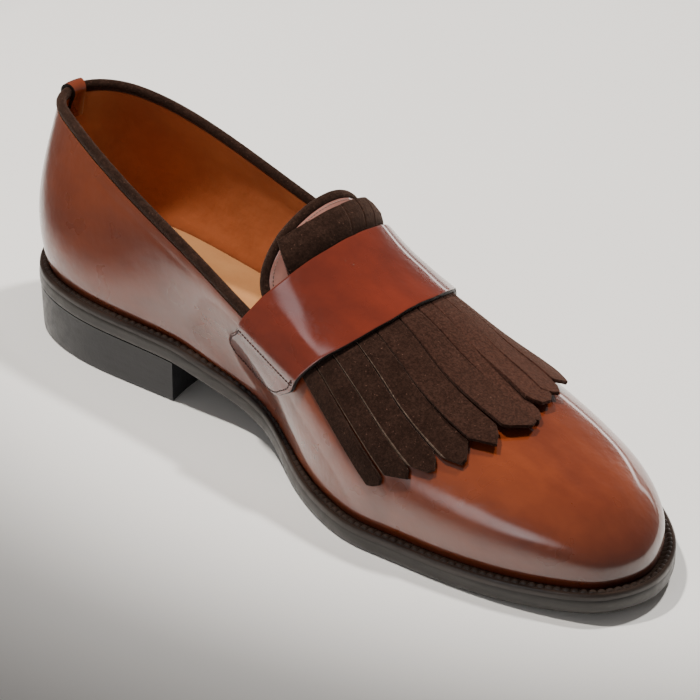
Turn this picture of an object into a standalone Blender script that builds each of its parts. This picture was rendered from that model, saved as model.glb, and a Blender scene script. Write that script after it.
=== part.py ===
"""Left kiltie loafer: closed solids in metres, toe toward +X, lateral side toward +Y, floor at z = 0.

Shape tables are in millimetres from the back of the heel. A place on the shoe is given by a station s
(0 at the heel back, TOE at the toe tip) and a signed height c: 0 on the ridge, 1 at the topline level,
2 at the sole, negative on the medial side.
"""
import bmesh
import bpy
from math import cos, pi, sin, sqrt

MM = 0.001

# driving dimensions in millimetres; names that end in _S are stations, in _C signed heights
TOE_X = 300.0
TOE_SPRING = 4.7
TREAD_START_X = 182.8
TREAD_END_X = 220.5
BREAST_X = 94.0
BREAST_S = 4.0
BREAST_HOLLOW = 6.0
BREAST_HALF = 31.0
STATION_LENGTH = 28.0
HEEL_TOP_Z = 18.0
SEAT_RISE = 0.12
ARCH_HOLLOW = 0.55
ARCH_END = 1.6
ARCH_BLEND = 0.7
GAP = 0.3
OUTSOLE = 5.5
EDGE_BEVEL = 0.8
WELT = 2.6
WELT_BEVEL = 0.5
SOLE_EDGE = OUTSOLE + GAP + WELT
HEEL_INSET_TOP = 0.3
HEEL_INSET_FLOOR = 1.2
WALL = 2.2
INSOLE = 3.0
COLLAR_END_S = 6.25
THROAT_S = 7.1
THROAT_POWER = 0.7
FAN_START_S = 9.5
FAN_RUN_S = 3.0
BEAD_UP = 2.1
BEAD_OUT = 1.9
TAB = 1.2
TAB_GAP = GAP + 0.1
TAB_HALF_S = 0.34
TAB_LEG = 11.0
TAB_INNER_LEG = 9.0
TAB_BEND = 3.0
TONGUE = 1.6
TONGUE_SUNK = -2.9
TONGUE_END_LIFT = 0.3
TONGUE_LIFT_S = 0.5
TONGUE_HALF_C = 0.77
TONGUE_END_S = 6.07
TONGUE_ROUND_S = 0.40
TONGUE_BLUNT = 0.95
TONGUE_BEAD = 1.6
STRAP = 1.6
STRAP_LOW = 0.35
STRAP_HIGH = 2.1
STRAP_DROP_C = 1.09
STRAP_DROP_RUN_C = 0.17
KILTIE = 1.4
KILTIE_LOW = 0.35
FOLD_SHRINK = 0.47
FOLD_CORNER = 0.06
SLIT_C = 0.010
SLIT_TIP_C = 0.022
STRIP_START_S = 0.13
STRIP_POINT_S = 0.05
STRIP_FLAT = 0.3

OUTLINE = [  # x, med, lat: half widths of the outsole
    (3.0, 1.0, -1.0),
    (8.5, 17.2, 19.2),
    (23.0, 31.2, 32.0),
    (48.0, 36.2, 35.8),
    (75.0, 33.3, 36.0),
    (105.0, 28.1, 36.3),
    (135.0, 25.0, 38.8),
    (165.0, 37.8, 45.5),
    (195.0, 47.1, 53.0),
    (215.0, 45.7, 55.0),
    (235.0, 42.4, 53.0),
    (255.0, 37.7, 47.5),
    (272.0, 31.7, 39.0),
    (286.0, 24.6, 28.2),
    (295.0, 16.0, 16.6),
    (300.0, 0.0, 0.0),
]
TOE = len(OUTLINE) - 1

WALLS = [  # inset, bulge, rise: foot of the upper in from the sole edge, then how it swells
    (4.4, 12.0, 19.0),
    (4.4, 11.5, 19.0),
    (4.5, 8.5, 18.0),
    (4.7, 5.0, 16.0),
    (4.8, 3.0, 15.0),
    (4.8, 2.5, 13.0),
    (4.9, 2.5, 12.0),
    (5.1, 2.5, 12.0),
    (5.2, 2.5, 12.0),
    (5.2, 2.5, 12.0),
    (5.2, 2.5, 11.0),
    (5.2, 2.5, 11.0),
    (5.2, 2.5, 11.0),
    (5.2, 2.5, 11.0),
    (5.2, 2.5, 11.0),
    (5.2, 2.5, 11.0),
]

TOPLINE = [  # x, med, lat, z, lean, below, above: topline or shoulder, its lean and curve handles
    (5.0, -2.0, 2.0, 89.3, 0.18, 22.0, 10.0),
    (9.0, 8.5, 12.5, 89.2, 0.20, 22.0, 10.0),
    (21.0, 14.8, 21.3, 87.6, 0.24, 20.0, 10.0),
    (42.0, 20.3, 27.6, 83.2, 0.28, 18.0, 10.0),
    (68.0, 24.0, 31.5, 76.2, 0.32, 16.0, 10.0),
    (97.0, 26.3, 34.4, 67.7, 0.40, 14.0, 11.0),
    (128.0, 29.5, 37.5, 58.5, 0.55, 13.0, 12.0),
    (160.0, 32.5, 39.5, 50.5, 0.75, 12.0, 13.0),
    (190.0, 34.5, 40.0, 44.0, 0.95, 11.0, 13.0),
    (210.0, 33.5, 39.5, 40.0, 1.10, 11.0, 12.0),
    (229.0, 31.0, 37.5, 36.8, 1.20, 10.0, 11.0),
    (248.5, 27.0, 33.5, 34.0, 1.25, 9.0, 10.0),
    (264.0, 22.3, 27.5, 32.0, 1.25, 9.0, 9.0),
    (275.5, 16.0, 19.0, 30.8, 1.20, 9.0, 9.0),
    (282.0, 8.5, 10.0, 30.2, 1.20, 9.0, 9.0),
    (284.0, -0.6, 0.6, 30.0, 1.20, 9.0, 9.0),
]

RIDGE = [  # x, y, z, crown: centre line of the instep and toe, and how flat the top runs
    (35.0, 4.0, 113.0, 2.0),
    (38.0, 4.0, 112.5, 6.0),
    (46.0, 5.0, 111.5, 9.0),
    (66.0, 6.5, 109.0, 10.0),
    (90.0, 8.0, 104.5, 12.0),
    (112.0, 9.0, 97.0, 15.0),
    (132.0, 10.0, 87.6, 19.0),
    (157.0, 4.8, 72.2, 16.5),
    (184.0, 3.5, 62.9, 18.0),
    (203.0, 2.0, 55.8, 18.0),
    (220.0, 1.0, 50.0, 17.0),
    (236.0, 0.3, 45.5, 14.0),
    (249.0, 0.0, 42.0, 12.0),
    (258.0, 0.0, 39.8, 11.0),
    (263.0, 0.0, 38.5, 10.0),
    (265.0, 0.0, 38.0, 10.0),
]

STRAP_EDGES = [  # c, rear, front: stations of the strap's two long edges, same on both sides
    (0.00, 6.62, 7.88),
    (0.20, 6.585, 7.84),
    (0.40, 6.495, 7.705),
    (0.60, 6.39, 7.53),
    (0.80, 6.28, 7.345),
    (0.95, 6.225, 7.255),
    (1.08, 6.175, 7.205),
    (1.18, 6.11, 7.15),
    (1.28, 5.98, 7.08),
    (1.36, 5.85, 6.95),
    (1.44, 5.76, 6.79),
    (1.50, 5.73, 6.55),
    (1.545, 5.77, 6.25),
    (1.575, 5.85, 6.02),
]

STRIPS = [  # c_strap, c_tip, s_left, s_right, lift: left edge of each fringe strip and its two tip corners
    (-1.05, -1.54, 8.50, 8.84, 0.2),
    (-0.90, -1.37, 8.98, 9.40, 0.4),
    (-0.742, -1.13, 9.48, 9.86, 0.3),
    (-0.531, -0.863, 9.92, 10.35, 0.4),
    (-0.352, -0.58, 10.40, 10.82, 0.5),
    (-0.133, -0.256, 11.06, 11.32, 1.5),
    (0.039, 0.072, 10.72, 10.62, 0.6),
    (0.185, 0.445, 10.46, 10.27, 0.5),
    (0.376, 0.69, 10.05, 9.87, 0.4),
    (0.590, 0.95, 9.62, 9.40, 0.4),
    (0.810, 1.21, 9.05, 8.66, 0.3),
    (1.020, 1.48, 8.66, 8.66, 0.2),
]

FOLD = [  # back, under, rise: rows of the rolled fold behind the strap, from its far end
    (0.44, 0.6, 0.65),
    (0.42, 0.3, 1.9),
    (0.32, 0.1, 2.6),
    (0.18, 0.0, 2.6),
    (0.08, 0.0, 1.3),
    (0.02, 0.0, 0.0),
]

STATION_RUNS = [  # end, steps, ease: stations shared by the upper, sole, welt and insole
    (COLLAR_END_S, 16, 1.0),
    (THROAT_S, 5, 1.0 / THROAT_POWER),
    (float(TOE), 21, 1.0),
]
HEEL_STATIONS = [0.3, 0.6, 0.9, 1.2, 1.5, 1.8, 2.2, 2.7, 3.2, 3.7, 4.15]
TONGUE_STEPS = [0.0, 0.03, 0.08, 0.15, 0.25, 0.36, 0.5, 0.75, 1.0, 1.4, 1.86]
TONGUE_BEAD_STEPS = [0.42, 0.34, 0.26, 0.17, 0.10, 0.05, 0.02]
WALL_ROWS = 11
SOLE_COLUMNS = 4
HEEL_COLUMNS = 8
TONGUE_COLUMNS = 14
STRAP_COLUMNS = 6
COLLAR_STEPS = 30
BEAD_SIDES = 8
KILTIE_BASE_ROWS = 4
STRIP_ROWS = 6
SAMPLE = 0.02
SHARP_EDGE = 0.6

MATERIALS = {  # colour, roughness
    "upper_leather": ((0.21, 0.060, 0.020), 0.25),
    "tongue_leather": ((0.13, 0.040, 0.025), 0.30),
    "dark_suede": ((0.020, 0.010, 0.007), 0.95),
    "welt_leather": ((0.015, 0.010, 0.009), 0.60),
    "sole_edge": ((0.018, 0.017, 0.019), 0.45),
    "insole_leather": ((0.45, 0.22, 0.085), 0.50),
}


def clear_scene():
    """Remove whatever the empty file holds."""
    for item in list(bpy.data.objects):
        bpy.data.objects.remove(item, do_unlink=True)


def knot_slopes(values):
    """Slopes of a smooth closed curve through evenly spaced values."""
    n = len(values)
    rows = [[0.0] * (n + 1) for _ in range(n)]
    for i in range(n):
        rows[i][i] = 4.0
        rows[i][(i + 1) % n] += 1.0
        rows[i][(i - 1) % n] += 1.0
        rows[i][n] = 3.0 * (values[(i + 1) % n] - values[(i - 1) % n])
    for i in range(n):
        for j in range(i + 1, n):
            ratio = rows[j][i] / rows[i][i]
            if ratio:
                for k in range(i, n + 1):
                    rows[j][k] -= ratio * rows[i][k]
    slopes = [0.0] * n
    for i in reversed(range(n)):
        known = sum(rows[i][k] * slopes[k] for k in range(i + 1, n))
        slopes[i] = (rows[i][n] - known) / rows[i][i]
    return slopes


def round_curve(med, lat):
    """Smooth value round the shoe: s from 0 to TOE on the lateral side, negative on the medial side."""
    values = list(lat) + list(med[-2:0:-1])
    slopes = knot_slopes(values)
    n = len(values)

    def value(s):
        s %= n
        i = int(s)
        f = s - i
        j = (i + 1) % n
        low = values[i] * (1 + 2 * f) + slopes[i] * f
        high = values[j] * (3 - 2 * f) + slopes[j] * (f - 1)
        return low * (1 - f) ** 2 + high * f * f

    return value


def columns(table, *names):
    """Round curves for the named columns of a table, the same on both sides."""
    return [round_curve([r[k] for r in table], [r[k] for r in table]) for k in names]


def sided(table, med, lat):
    """Round curve for a half width column pair, medial side negative."""
    return round_curve([-r[med] for r in table], [r[lat] for r in table])


edge_x, = columns(OUTLINE, 0)
edge_y = sided(OUTLINE, 1, 2)
foot_inset, foot_bulge, foot_rise = columns(WALLS, 0, 1, 2)
top_x, top_z, top_lean, top_below, top_above = columns(TOPLINE, 0, 3, 4, 5, 6)
top_y = sided(TOPLINE, 1, 2)
ridge_x, ridge_y, ridge_z, ridge_crown = columns(RIDGE, 0, 1, 2, 3)


def table_value(table, at, column):
    """Smooth reading of a table whose first column rises."""
    last = len(table) - 1
    at = max(table[0][0], min(at, table[last][0]))
    i = max(k for k in range(last) if table[k][0] <= at)

    def slope(k):
        a, b = table[max(k - 1, 0)], table[min(k + 1, last)]
        return (b[column] - a[column]) / (b[0] - a[0])

    a, b = table[i], table[i + 1]
    width = b[0] - a[0]
    f = (at - a[0]) / width
    low = a[column] * (1 + 2 * f) + slope(i) * width * f
    high = b[column] * (3 - 2 * f) + slope(i + 1) * width * (f - 1)
    return low * (1 - f) ** 2 + high * f * f


def smooth(u):
    """Ease from 0 to 1."""
    u = max(0.0, min(1.0, u))
    return u * u * (3 - 2 * u)


def blend(a, b, u):
    return a + (b - a) * u


def sole_z(x):
    """Height of the underside of the outsole: heel seat, arch, flat tread and toe spring."""
    t = (TREAD_START_X - x) / (TREAD_START_X - BREAST_X)
    seat = HEEL_TOP_Z * (1 + SEAT_RISE * (min(t, ARCH_END) - 1))
    arch = 0.0
    if t > 0:
        arch = HEEL_TOP_Z * t * t * (1 + ARCH_HOLLOW * (1 - t)) if t < ARCH_END else 2 * HEEL_TOP_Z
    z = (seat + arch) / 2 - sqrt(((seat - arch) / 2) ** 2 + ARCH_BLEND ** 2)
    spring = max(0.0, (x - TREAD_END_X) / (TOE_X - TREAD_END_X))
    return max(0.0, z) + TOE_SPRING * spring ** 2


def sole_edge(s, inset):
    """Plan point of the outline moved in by inset, with the outward direction."""
    dx = edge_x(s + SAMPLE) - edge_x(s - SAMPLE)
    dy = edge_y(s + SAMPLE) - edge_y(s - SAMPLE)
    r = sqrt(dx * dx + dy * dy)
    nx, ny = -dy / r, dx / r
    return edge_x(s) - nx * inset, edge_y(s) - ny * inset, nx, ny


def ridge_slope(s):
    """Fall of the ridge along x."""
    a = max(BREAST_S, min(abs(s), TOE - 0.6))
    rise = ridge_z(a + SAMPLE) - ridge_z(a - SAMPLE)
    return rise / (ridge_x(a + SAMPLE) - ridge_x(a - SAMPLE))


def bezier(p, u):
    v = 1 - u
    w = (v * v * v, 3 * v * v * u, 3 * v * u * u, u * u * u)
    return tuple(sum(w[k] * p[k][i] for k in range(4)) for i in range(3))


def rib(s, t):
    """Outer skin of the last: t is 0 at the sole, 1 at the topline, 2 on the ridge."""
    x, y, nx, ny = sole_edge(s, foot_inset(s))
    top = (top_x(s), top_y(s), top_z(s))
    r = sqrt(1 + top_lean(s) ** 2)
    lean, up = top_lean(s) / r, 1 / r
    if t <= 1:
        z = sole_z(x) + SOLE_EDGE
        b, h = foot_bulge(s), top_below(s)
        low = (x + nx * b, y + ny * b, z + foot_rise(s))
        high = (top[0] + nx * lean * h, top[1] + ny * lean * h, top[2] - up * h)
        return bezier(((x, y, z), low, high, top), t)
    h, crown = top_above(s), ridge_crown(s)
    low = (top[0] - nx * lean * h, top[1] - ny * lean * h, top[2] + up * h)
    end = (ridge_x(s), ridge_y(s), ridge_z(s))
    fan = nx * smooth((abs(s) - FAN_START_S) / FAN_RUN_S)
    r = sqrt(fan * fan + ny * ny)
    across, along = crown * ny / r, crown * fan / r
    high = (end[0] + along, end[1] + across, end[2] + along * ridge_slope(s))
    return bezier((top, low, high, end), t - 1)


def minus(a, b):
    return (a[0] - b[0], a[1] - b[1], a[2] - b[2])


def unit(a):
    r = sqrt(sum(v * v for v in a)) or 1.0
    return (a[0] / r, a[1] / r, a[2] / r)


def cross(a, b):
    return (a[1] * b[2] - a[2] * b[1], a[2] * b[0] - a[0] * b[2], a[0] * b[1] - a[1] * b[0])


def moved(p, n, d):
    return (p[0] + n[0] * d, p[1] + n[1] * d, p[2] + n[2] * d)


def normal(s, t):
    """Outward direction of the skin."""
    t = max(SAMPLE, min(t, 1.9 if abs(s) > TOE - 1 else 2 - SAMPLE))
    along = minus(rib(s + SAMPLE, t), rib(s - SAMPLE, t))
    up = minus(rib(s, t + SAMPLE), rib(s, t - SAMPLE))
    return unit(cross(up, along))


def skin(s, t, off):
    """Point of the last moved out by off; ridge points are the mean of both sides."""
    if t > 1.999 and abs(s) < TOE:
        n = unit([a + b for a, b in zip(normal(abs(s), 2.0), normal(-abs(s), 2.0))])
        return moved(rib(abs(s), 2.0), n, off)
    return moved(rib(s, t), normal(s, t), off)


def over(s, c, off):
    """Same surface with the signed height c."""
    return skin(-s if c < 0 else s, 2 - abs(c), off)


def rib_length(s):
    """Length of the wall from the sole to the topline."""
    points = [rib(s, k / 12) for k in range(13)]
    return sum(sqrt(sum(v * v for v in minus(a, b))) for a, b in zip(points, points[1:]))


def cut_height(s):
    """Height t where the upper is cut: under the bead on the collar, up to the ridge at the throat."""
    a = abs(s)
    if a >= THROAT_S:
        return 2.0
    t = 1 - (2 * BEAD_UP + GAP) / rib_length(s)
    if a <= COLLAR_END_S:
        return t
    return 2 - (2 - t) * ((THROAT_S - a) / (THROAT_S - COLLAR_END_S)) ** THROAT_POWER


def station_list():
    """Stations of one side from heel back to toe tip."""
    stations = [0.0]
    for end, steps, ease in STATION_RUNS:
        start = stations[-1]
        stations += [blend(end, start, (1 - (k + 1) / steps) ** ease) for k in range(steps)]
    return stations


STATIONS = station_list()
ROUND = [-s for s in STATIONS[:0:-1]] + STATIONS[:-1]


def make_object(name, material, points, faces):
    """Closed mesh object from points in millimetres; equal points are joined."""
    mesh = bpy.data.meshes.new(name)
    mesh.from_pydata([tuple(v * MM for v in p) for p in points], [], faces)
    work = bmesh.new()
    work.from_mesh(mesh)
    bmesh.ops.remove_doubles(work, verts=work.verts[:], dist=1e-7)
    bmesh.ops.triangulate(work, faces=work.faces[:])
    bmesh.ops.recalc_face_normals(work, faces=work.faces[:])
    if work.calc_volume(signed=True) < 0:
        bmesh.ops.reverse_faces(work, faces=work.faces[:])
    work.to_mesh(mesh)
    work.free()
    mesh.shade_smooth()
    mesh.set_sharp_from_angle(angle=SHARP_EDGE)
    item = bpy.data.objects.new(name, mesh)
    bpy.context.collection.objects.link(item)
    mesh.materials.append(make_material(material))
    return item


def make_material(name):
    if name in bpy.data.materials:
        return bpy.data.materials[name]
    colour, rough = MATERIALS[name]
    material = bpy.data.materials.new(name)
    material.use_nodes = True
    shader = material.node_tree.nodes["Principled BSDF"]
    shader.inputs["Base Color"].default_value = (*colour, 1.0)
    shader.inputs["Roughness"].default_value = rough
    return material


def sheet(name, material, low, high, keep=None):
    """Solid between two grids of points; keep(i, j) leaves out cells of the grid."""
    rows, cols = len(low), len(low[0])
    points = [p for row in low for p in row] + [p for row in high for p in row]
    base = rows * cols

    def there(i, j):
        return 0 <= i < rows - 1 and 0 <= j < cols - 1 and (keep is None or keep(i, j))

    faces = []
    for i in range(rows - 1):
        for j in range(cols - 1):
            if not there(i, j):
                continue
            a, b, c, d = i * cols + j, i * cols + j + 1, (i + 1) * cols + j + 1, (i + 1) * cols + j
            faces += [(a, b, c, d), (base + d, base + c, base + b, base + a)]
            sides = [((i - 1, j), b, a), ((i + 1, j), d, c), ((i, j - 1), a, d), ((i, j + 1), c, b)]
            faces += [(p, q, base + q, base + p) for cell, p, q in sides if not there(*cell)]
    used = sorted({v for f in faces for v in f})
    place = {v: k for k, v in enumerate(used)}
    return make_object(name, material, [points[v] for v in used], [tuple(place[v] for v in f) for f in faces])


def tube(name, material, rings, closed=False):
    """Solid swept through rings of points, capped at both ends unless closed."""
    n = len(rings[0])
    points = [p for ring in rings for p in ring]
    faces = []
    spans = len(rings) if closed else len(rings) - 1
    for i in range(spans):
        k = (i + 1) % len(rings)
        for j in range(n):
            m = (j + 1) % n
            faces.append((i * n + j, i * n + m, k * n + m, k * n + j))
    if not closed:
        faces += [tuple(range(n)), tuple((len(rings) - 1) * n + j for j in range(n))]
    return make_object(name, material, points, faces)


def slab(name, material, inset, low, high, bevel=0.0):
    """Solid under the whole foot: outline moved in by inset(s), between two heights above the sole line."""
    def grid(extra, lift):
        rows = []
        for s in STATIONS[1:-1]:
            ends = [sole_edge(side * s, inset(side * s) + extra)[:2] for side in (-1, 1)]
            row = []
            for k in range(SOLE_COLUMNS + 1):
                x, y = (blend(ends[0][i], ends[1][i], k / SOLE_COLUMNS) for i in range(2))
                row.append((x, y, sole_z(x) + lift))
            rows.append(row)
        tips = [sole_edge(s, inset(s) + extra)[:2] for s in (STATIONS[0], STATIONS[-1])]
        return rows, [(x, y, sole_z(x) + lift) for x, y in tips]

    def skin_faces(first, rows, tips):
        n = SOLE_COLUMNS + 1
        points = [tips[0]] + [p for row in rows for p in row] + [tips[1]]
        last = first + len(points) - 1
        at = lambda i, j: first + 1 + i * n + j
        faces = []
        for j in range(SOLE_COLUMNS):
            faces += [(first, at(0, j), at(0, j + 1)), (last, at(len(rows) - 1, j + 1), at(len(rows) - 1, j))]
            for i in range(len(rows) - 1):
                faces.append((at(i, j), at(i + 1, j), at(i + 1, j + 1), at(i, j + 1)))
        rim = [first] + [at(i, SOLE_COLUMNS) for i in range(len(rows))] + [last]
        rim += [at(i, 0) for i in reversed(range(len(rows)))]
        return points, faces, rim

    points, faces, lower = skin_faces(0, *grid(bevel, low))
    more, top_faces, upper = skin_faces(len(points), *grid(0.0, high))
    points += more
    faces += top_faces
    rims = [lower, upper]
    if bevel:
        ring = [len(points) + k for k in range(len(lower))]
        around = STATIONS + [-s for s in STATIONS[-2:0:-1]]
        for s in around:
            x, y = sole_edge(s, inset(s))[:2]
            points.append((x, y, sole_z(x) + low + bevel))
        rims = [lower, ring, upper]
    for a, b in zip(rims, rims[1:]):
        for k in range(len(a)):
            m = (k + 1) % len(a)
            faces.append((a[k], a[m], b[m], b[k]))
    return make_object(name, material, points, faces)


def make_outsole():
    return slab("outsole", "sole_edge", lambda s: 0.0, 0.0, OUTSOLE, EDGE_BEVEL)


def make_insole():
    return slab("insole", "insole_leather", lambda s: foot_inset(s) + WALL + GAP,
                OUTSOLE + GAP, OUTSOLE + GAP + INSOLE)


def breast_x(y):
    """Front face of the heel, hollowed toward the middle."""
    return BREAST_X - BREAST_HOLLOW * (1 - min(1.0, (y / BREAST_HALF) ** 2))


def make_heel():
    """Heel block: rows across the shoe from the back to the hollow front face."""
    across = HEEL_COLUMNS

    def level(inset, height):
        rows = []
        for s in HEEL_STATIONS + [None]:
            if s is None:
                ends = [front_corner(side, inset) for side in (-1, 1)]
            else:
                ends = [sole_edge(side * s, inset)[:2] for side in (-1, 1)]
            row = []
            for k in range(across + 1):
                x, y = (blend(ends[0][i], ends[1][i], k / across) for i in range(2))
                if s is None:
                    x = breast_x(y)
                row.append((x, y, height(x)))
            rows.append(row)
        tip = sole_edge(0.0, inset)[:2]
        rows.insert(0, [(*tip, height(tip[0]))] * (across + 1))
        return rows

    low = level(HEEL_INSET_FLOOR, lambda x: 0.0)
    high = level(HEEL_INSET_TOP, lambda x: sole_z(x) - GAP)
    return sheet("heel", "sole_edge", low, high)


def front_corner(side, inset):
    """Where the heel's front face meets the outline on one side."""
    s = BREAST_S
    for _ in range(30):
        x, y = sole_edge(side * s, inset)[:2]
        s += (breast_x(y) - x) / STATION_LENGTH
    return x, y


def make_welt():
    """Flat strip round the foot of the upper, flush with the sole edge."""
    rings = []
    for s in ROUND:
        inner = foot_inset(s) - GAP
        profile = [(0.0, 0.0), (inner, 0.0), (inner, WELT), (WELT_BEVEL, WELT), (0.0, WELT - WELT_BEVEL)]
        ring = []
        for inset, lift in profile:
            x, y = sole_edge(s, inset)[:2]
            ring.append((x, y, sole_z(x) + OUTSOLE + GAP + lift))
        rings.append(ring)
    return tube("welt", "welt_leather", rings, closed=True)


def make_upper():
    """Hollow shell: outer and inner skins joined round the foot and round the topline."""
    def column(s, off):
        foot = skin(s, 0.0, 0.0)
        n = sole_edge(s, 0.0)
        foot = (foot[0] + n[2] * off, foot[1] + n[3] * off, foot[2])
        down = (foot[0], foot[1], sole_z(foot[0]) + OUTSOLE + GAP)
        cut = cut_height(s)
        return [down, foot] + [skin(s, cut * k / WALL_ROWS, off) for k in range(1, WALL_ROWS + 1)]

    cols = [(column(s, 0.0), column(s, -WALL)) for s in ROUND]
    rows = WALL_ROWS + 2
    points = []
    for outer, inner in cols:
        points += outer + inner
    faces = []
    n = len(ROUND)
    for i in range(n):
        k = (i + 1) % n
        a, b = i * 2 * rows, k * 2 * rows
        for j in range(rows - 1):
            faces.append((a + j, b + j, b + j + 1, a + j + 1))
            faces.append((a + rows + j, a + rows + j + 1, b + rows + j + 1, b + rows + j))
        faces.append((a, a + rows, b + rows, b))
        if min(abs(ROUND[i]), abs(ROUND[k])) < THROAT_S - 1e-6:
            top = rows - 1
            faces.append((a + top, b + top, b + rows + top, a + rows + top))
    return make_object("upper", "upper_leather", points, faces)


def tongue_half(s):
    """Half width of the tongue as a signed height, rounded at its free corners."""
    q = max(0.0, (TONGUE_END_S + TONGUE_ROUND_S - s) / TONGUE_ROUND_S)
    return TONGUE_HALF_C * (1 - (TONGUE_BLUNT * q) ** 3) ** (1 / 3)


def tongue_top(s):
    """Upper face of the tongue: under the vamp it lies inside the upper, its free end lifts."""
    return blend(TONGUE_END_LIFT, TONGUE_SUNK, smooth((s - TONGUE_END_S) / TONGUE_LIFT_S))


def make_tongue():
    low, high = [], []
    for d in TONGUE_STEPS:
        s = TONGUE_END_S + d
        half = tongue_half(s)
        cs = [blend(-half, half, k / TONGUE_COLUMNS) for k in range(TONGUE_COLUMNS + 1)]
        low.append([over(s, c, tongue_top(s) - TONGUE) for c in cs])
        high.append([over(s, c, tongue_top(s)) for c in cs])
    return sheet("tongue", "tongue_leather", low, high)


def make_tongue_binding():
    """Rounded suede edge along the free end of the tongue."""
    path = [(TONGUE_END_S + d, -tongue_half(TONGUE_END_S + d)) for d in TONGUE_BEAD_STEPS]
    half = tongue_half(TONGUE_END_S)
    path += [(TONGUE_END_S, blend(-half, half, k / BEAD_SIDES)) for k in range(BEAD_SIDES + 1)]
    path += [(s, -c) for s, c in reversed(path[:len(TONGUE_BEAD_STEPS)])]
    spots = [over(s, c, tongue_top(s) - TONGUE / 2) for s, c in path]
    rings = []
    for i, (s, c) in enumerate(path):
        ahead = spots[min(i + 1, len(spots) - 1)]
        behind = spots[max(i - 1, 0)]
        up = unit(minus(over(s, c, 1.0), over(s, c, 0.0)))
        out = unit(cross(up, unit(minus(ahead, behind))))
        centre = moved(spots[i], out, BEAD_OUT + GAP)
        rings.append(oval(centre, out, up, BEAD_OUT, TONGUE_BEAD))
    return tube("tongue_binding", "dark_suede", rings)


def oval(centre, out, up, half_out, half_up):
    """Ring of points round a bead."""
    ring = []
    for k in range(BEAD_SIDES):
        a = 2 * pi * k / BEAD_SIDES
        ring.append(moved(moved(centre, out, half_out * cos(a)), up, half_up * sin(a)))
    return ring


def collar_frame(s):
    """Centre of the collar bead with its outward and upward directions."""
    t = cut_height(s)
    out = normal(s, t)
    up = unit(minus(skin(s, t, 0.0), skin(s, t - SAMPLE, 0.0)))
    rim = skin(s, t, -WALL / 2)
    return moved(rim, up, BEAD_UP + GAP), out, up


def make_collar_binding():
    """Rounded suede edge round the topline, ending under the strap on both sides."""
    ends = [COLLAR_END_S * k / COLLAR_STEPS for k in range(1, COLLAR_STEPS + 1)]
    rings = []
    for s in [-s for s in reversed(ends)] + [0.0] + ends:
        centre, out, up = collar_frame(s)
        rings.append(oval(centre, out, up, BEAD_OUT, BEAD_UP))
    return tube("collar_binding", "dark_suede", rings)


def make_heel_tab():
    """Leather tab folded over the collar at the back of the heel."""
    def profile(s, extra):
        centre, out, up = collar_frame(s)
        cut = cut_height(s)
        length = rib_length(s)
        line = []
        for drop in (TAB_LEG, TAB_LEG / 2, TAB_BEND):
            line.append(skin(s, cut - drop / length, TAB_GAP + extra))
        for k in range(BEAD_SIDES + 1):
            a = pi * k / BEAD_SIDES
            reach = moved(centre, out, (BEAD_OUT + GAP + extra) * cos(a))
            line.append(moved(reach, up, (BEAD_UP + GAP + extra) * sin(a)))
        for drop in (TAB_BEND, TAB_LEG / 2, TAB_INNER_LEG):
            line.append(skin(s, cut - drop / length, -WALL - TAB_GAP - extra))
        return line

    spots = [TAB_HALF_S * k / 2 for k in range(-2, 3)]
    low = [profile(s, 0.0) for s in spots]
    high = [profile(s, TAB) for s in spots]
    return sheet("heel_tab", "upper_leather", low, high)


def strap_off(c):
    """Underside of the strap: on the upper at its ends, over the kiltie in the middle."""
    return blend(STRAP_HIGH, STRAP_LOW, smooth((abs(c) - STRAP_DROP_C) / STRAP_DROP_RUN_C))


def make_strap():
    """Broad band across the instep, its rounded ends lying on the sides of the upper."""
    cs = [row[0] for row in STRAP_EDGES]
    between = [blend(a, b, 0.5) for a, b in zip(cs, cs[1:]) if b < STRAP_DROP_C - STRAP_DROP_RUN_C]
    one = sorted(cs[1:] + between)
    low, high = [], []
    for c in [-v for v in reversed(one)] + [0.0] + one:
        rear, front = strap_rear(c), strap_front(c)
        ss = [blend(rear, front, k / STRAP_COLUMNS) for k in range(STRAP_COLUMNS + 1)]
        low.append([over(s, c, strap_off(c)) for s in ss])
        high.append([over(s, c, strap_off(c) + STRAP) for s in ss])
    return sheet("saddle_strap", "upper_leather", low, high)


def strap_rear(c):
    return table_value(STRAP_EDGES, abs(c), 1)


def strap_front(c):
    return table_value(STRAP_EDGES, abs(c), 2)


def strip_columns():
    """Three columns for each fringe strip: c under the strap, c at the tip, station of the tip, lift."""
    cells = []
    last = len(STRIPS) - 2
    for k, (row, after) in enumerate(zip(STRIPS, STRIPS[1:])):
        left, right = 0.5 * (k > 0), 0.5 * (k < last)
        c0, c1 = row[0] + left * SLIT_C, after[0] - right * SLIT_C
        e0, e1 = row[1] + left * SLIT_TIP_C, after[1] - right * SLIT_TIP_C
        s0, s1, lift = row[2:5]
        tip = blend(s0, s1, 0.6) + STRIP_POINT_S
        cells += [(c0, e0, s0, lift), (blend(c0, c1, 0.5), blend(e0, e1, 0.5), tip, lift), (c1, e1, s1, lift)]
    return cells


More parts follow.
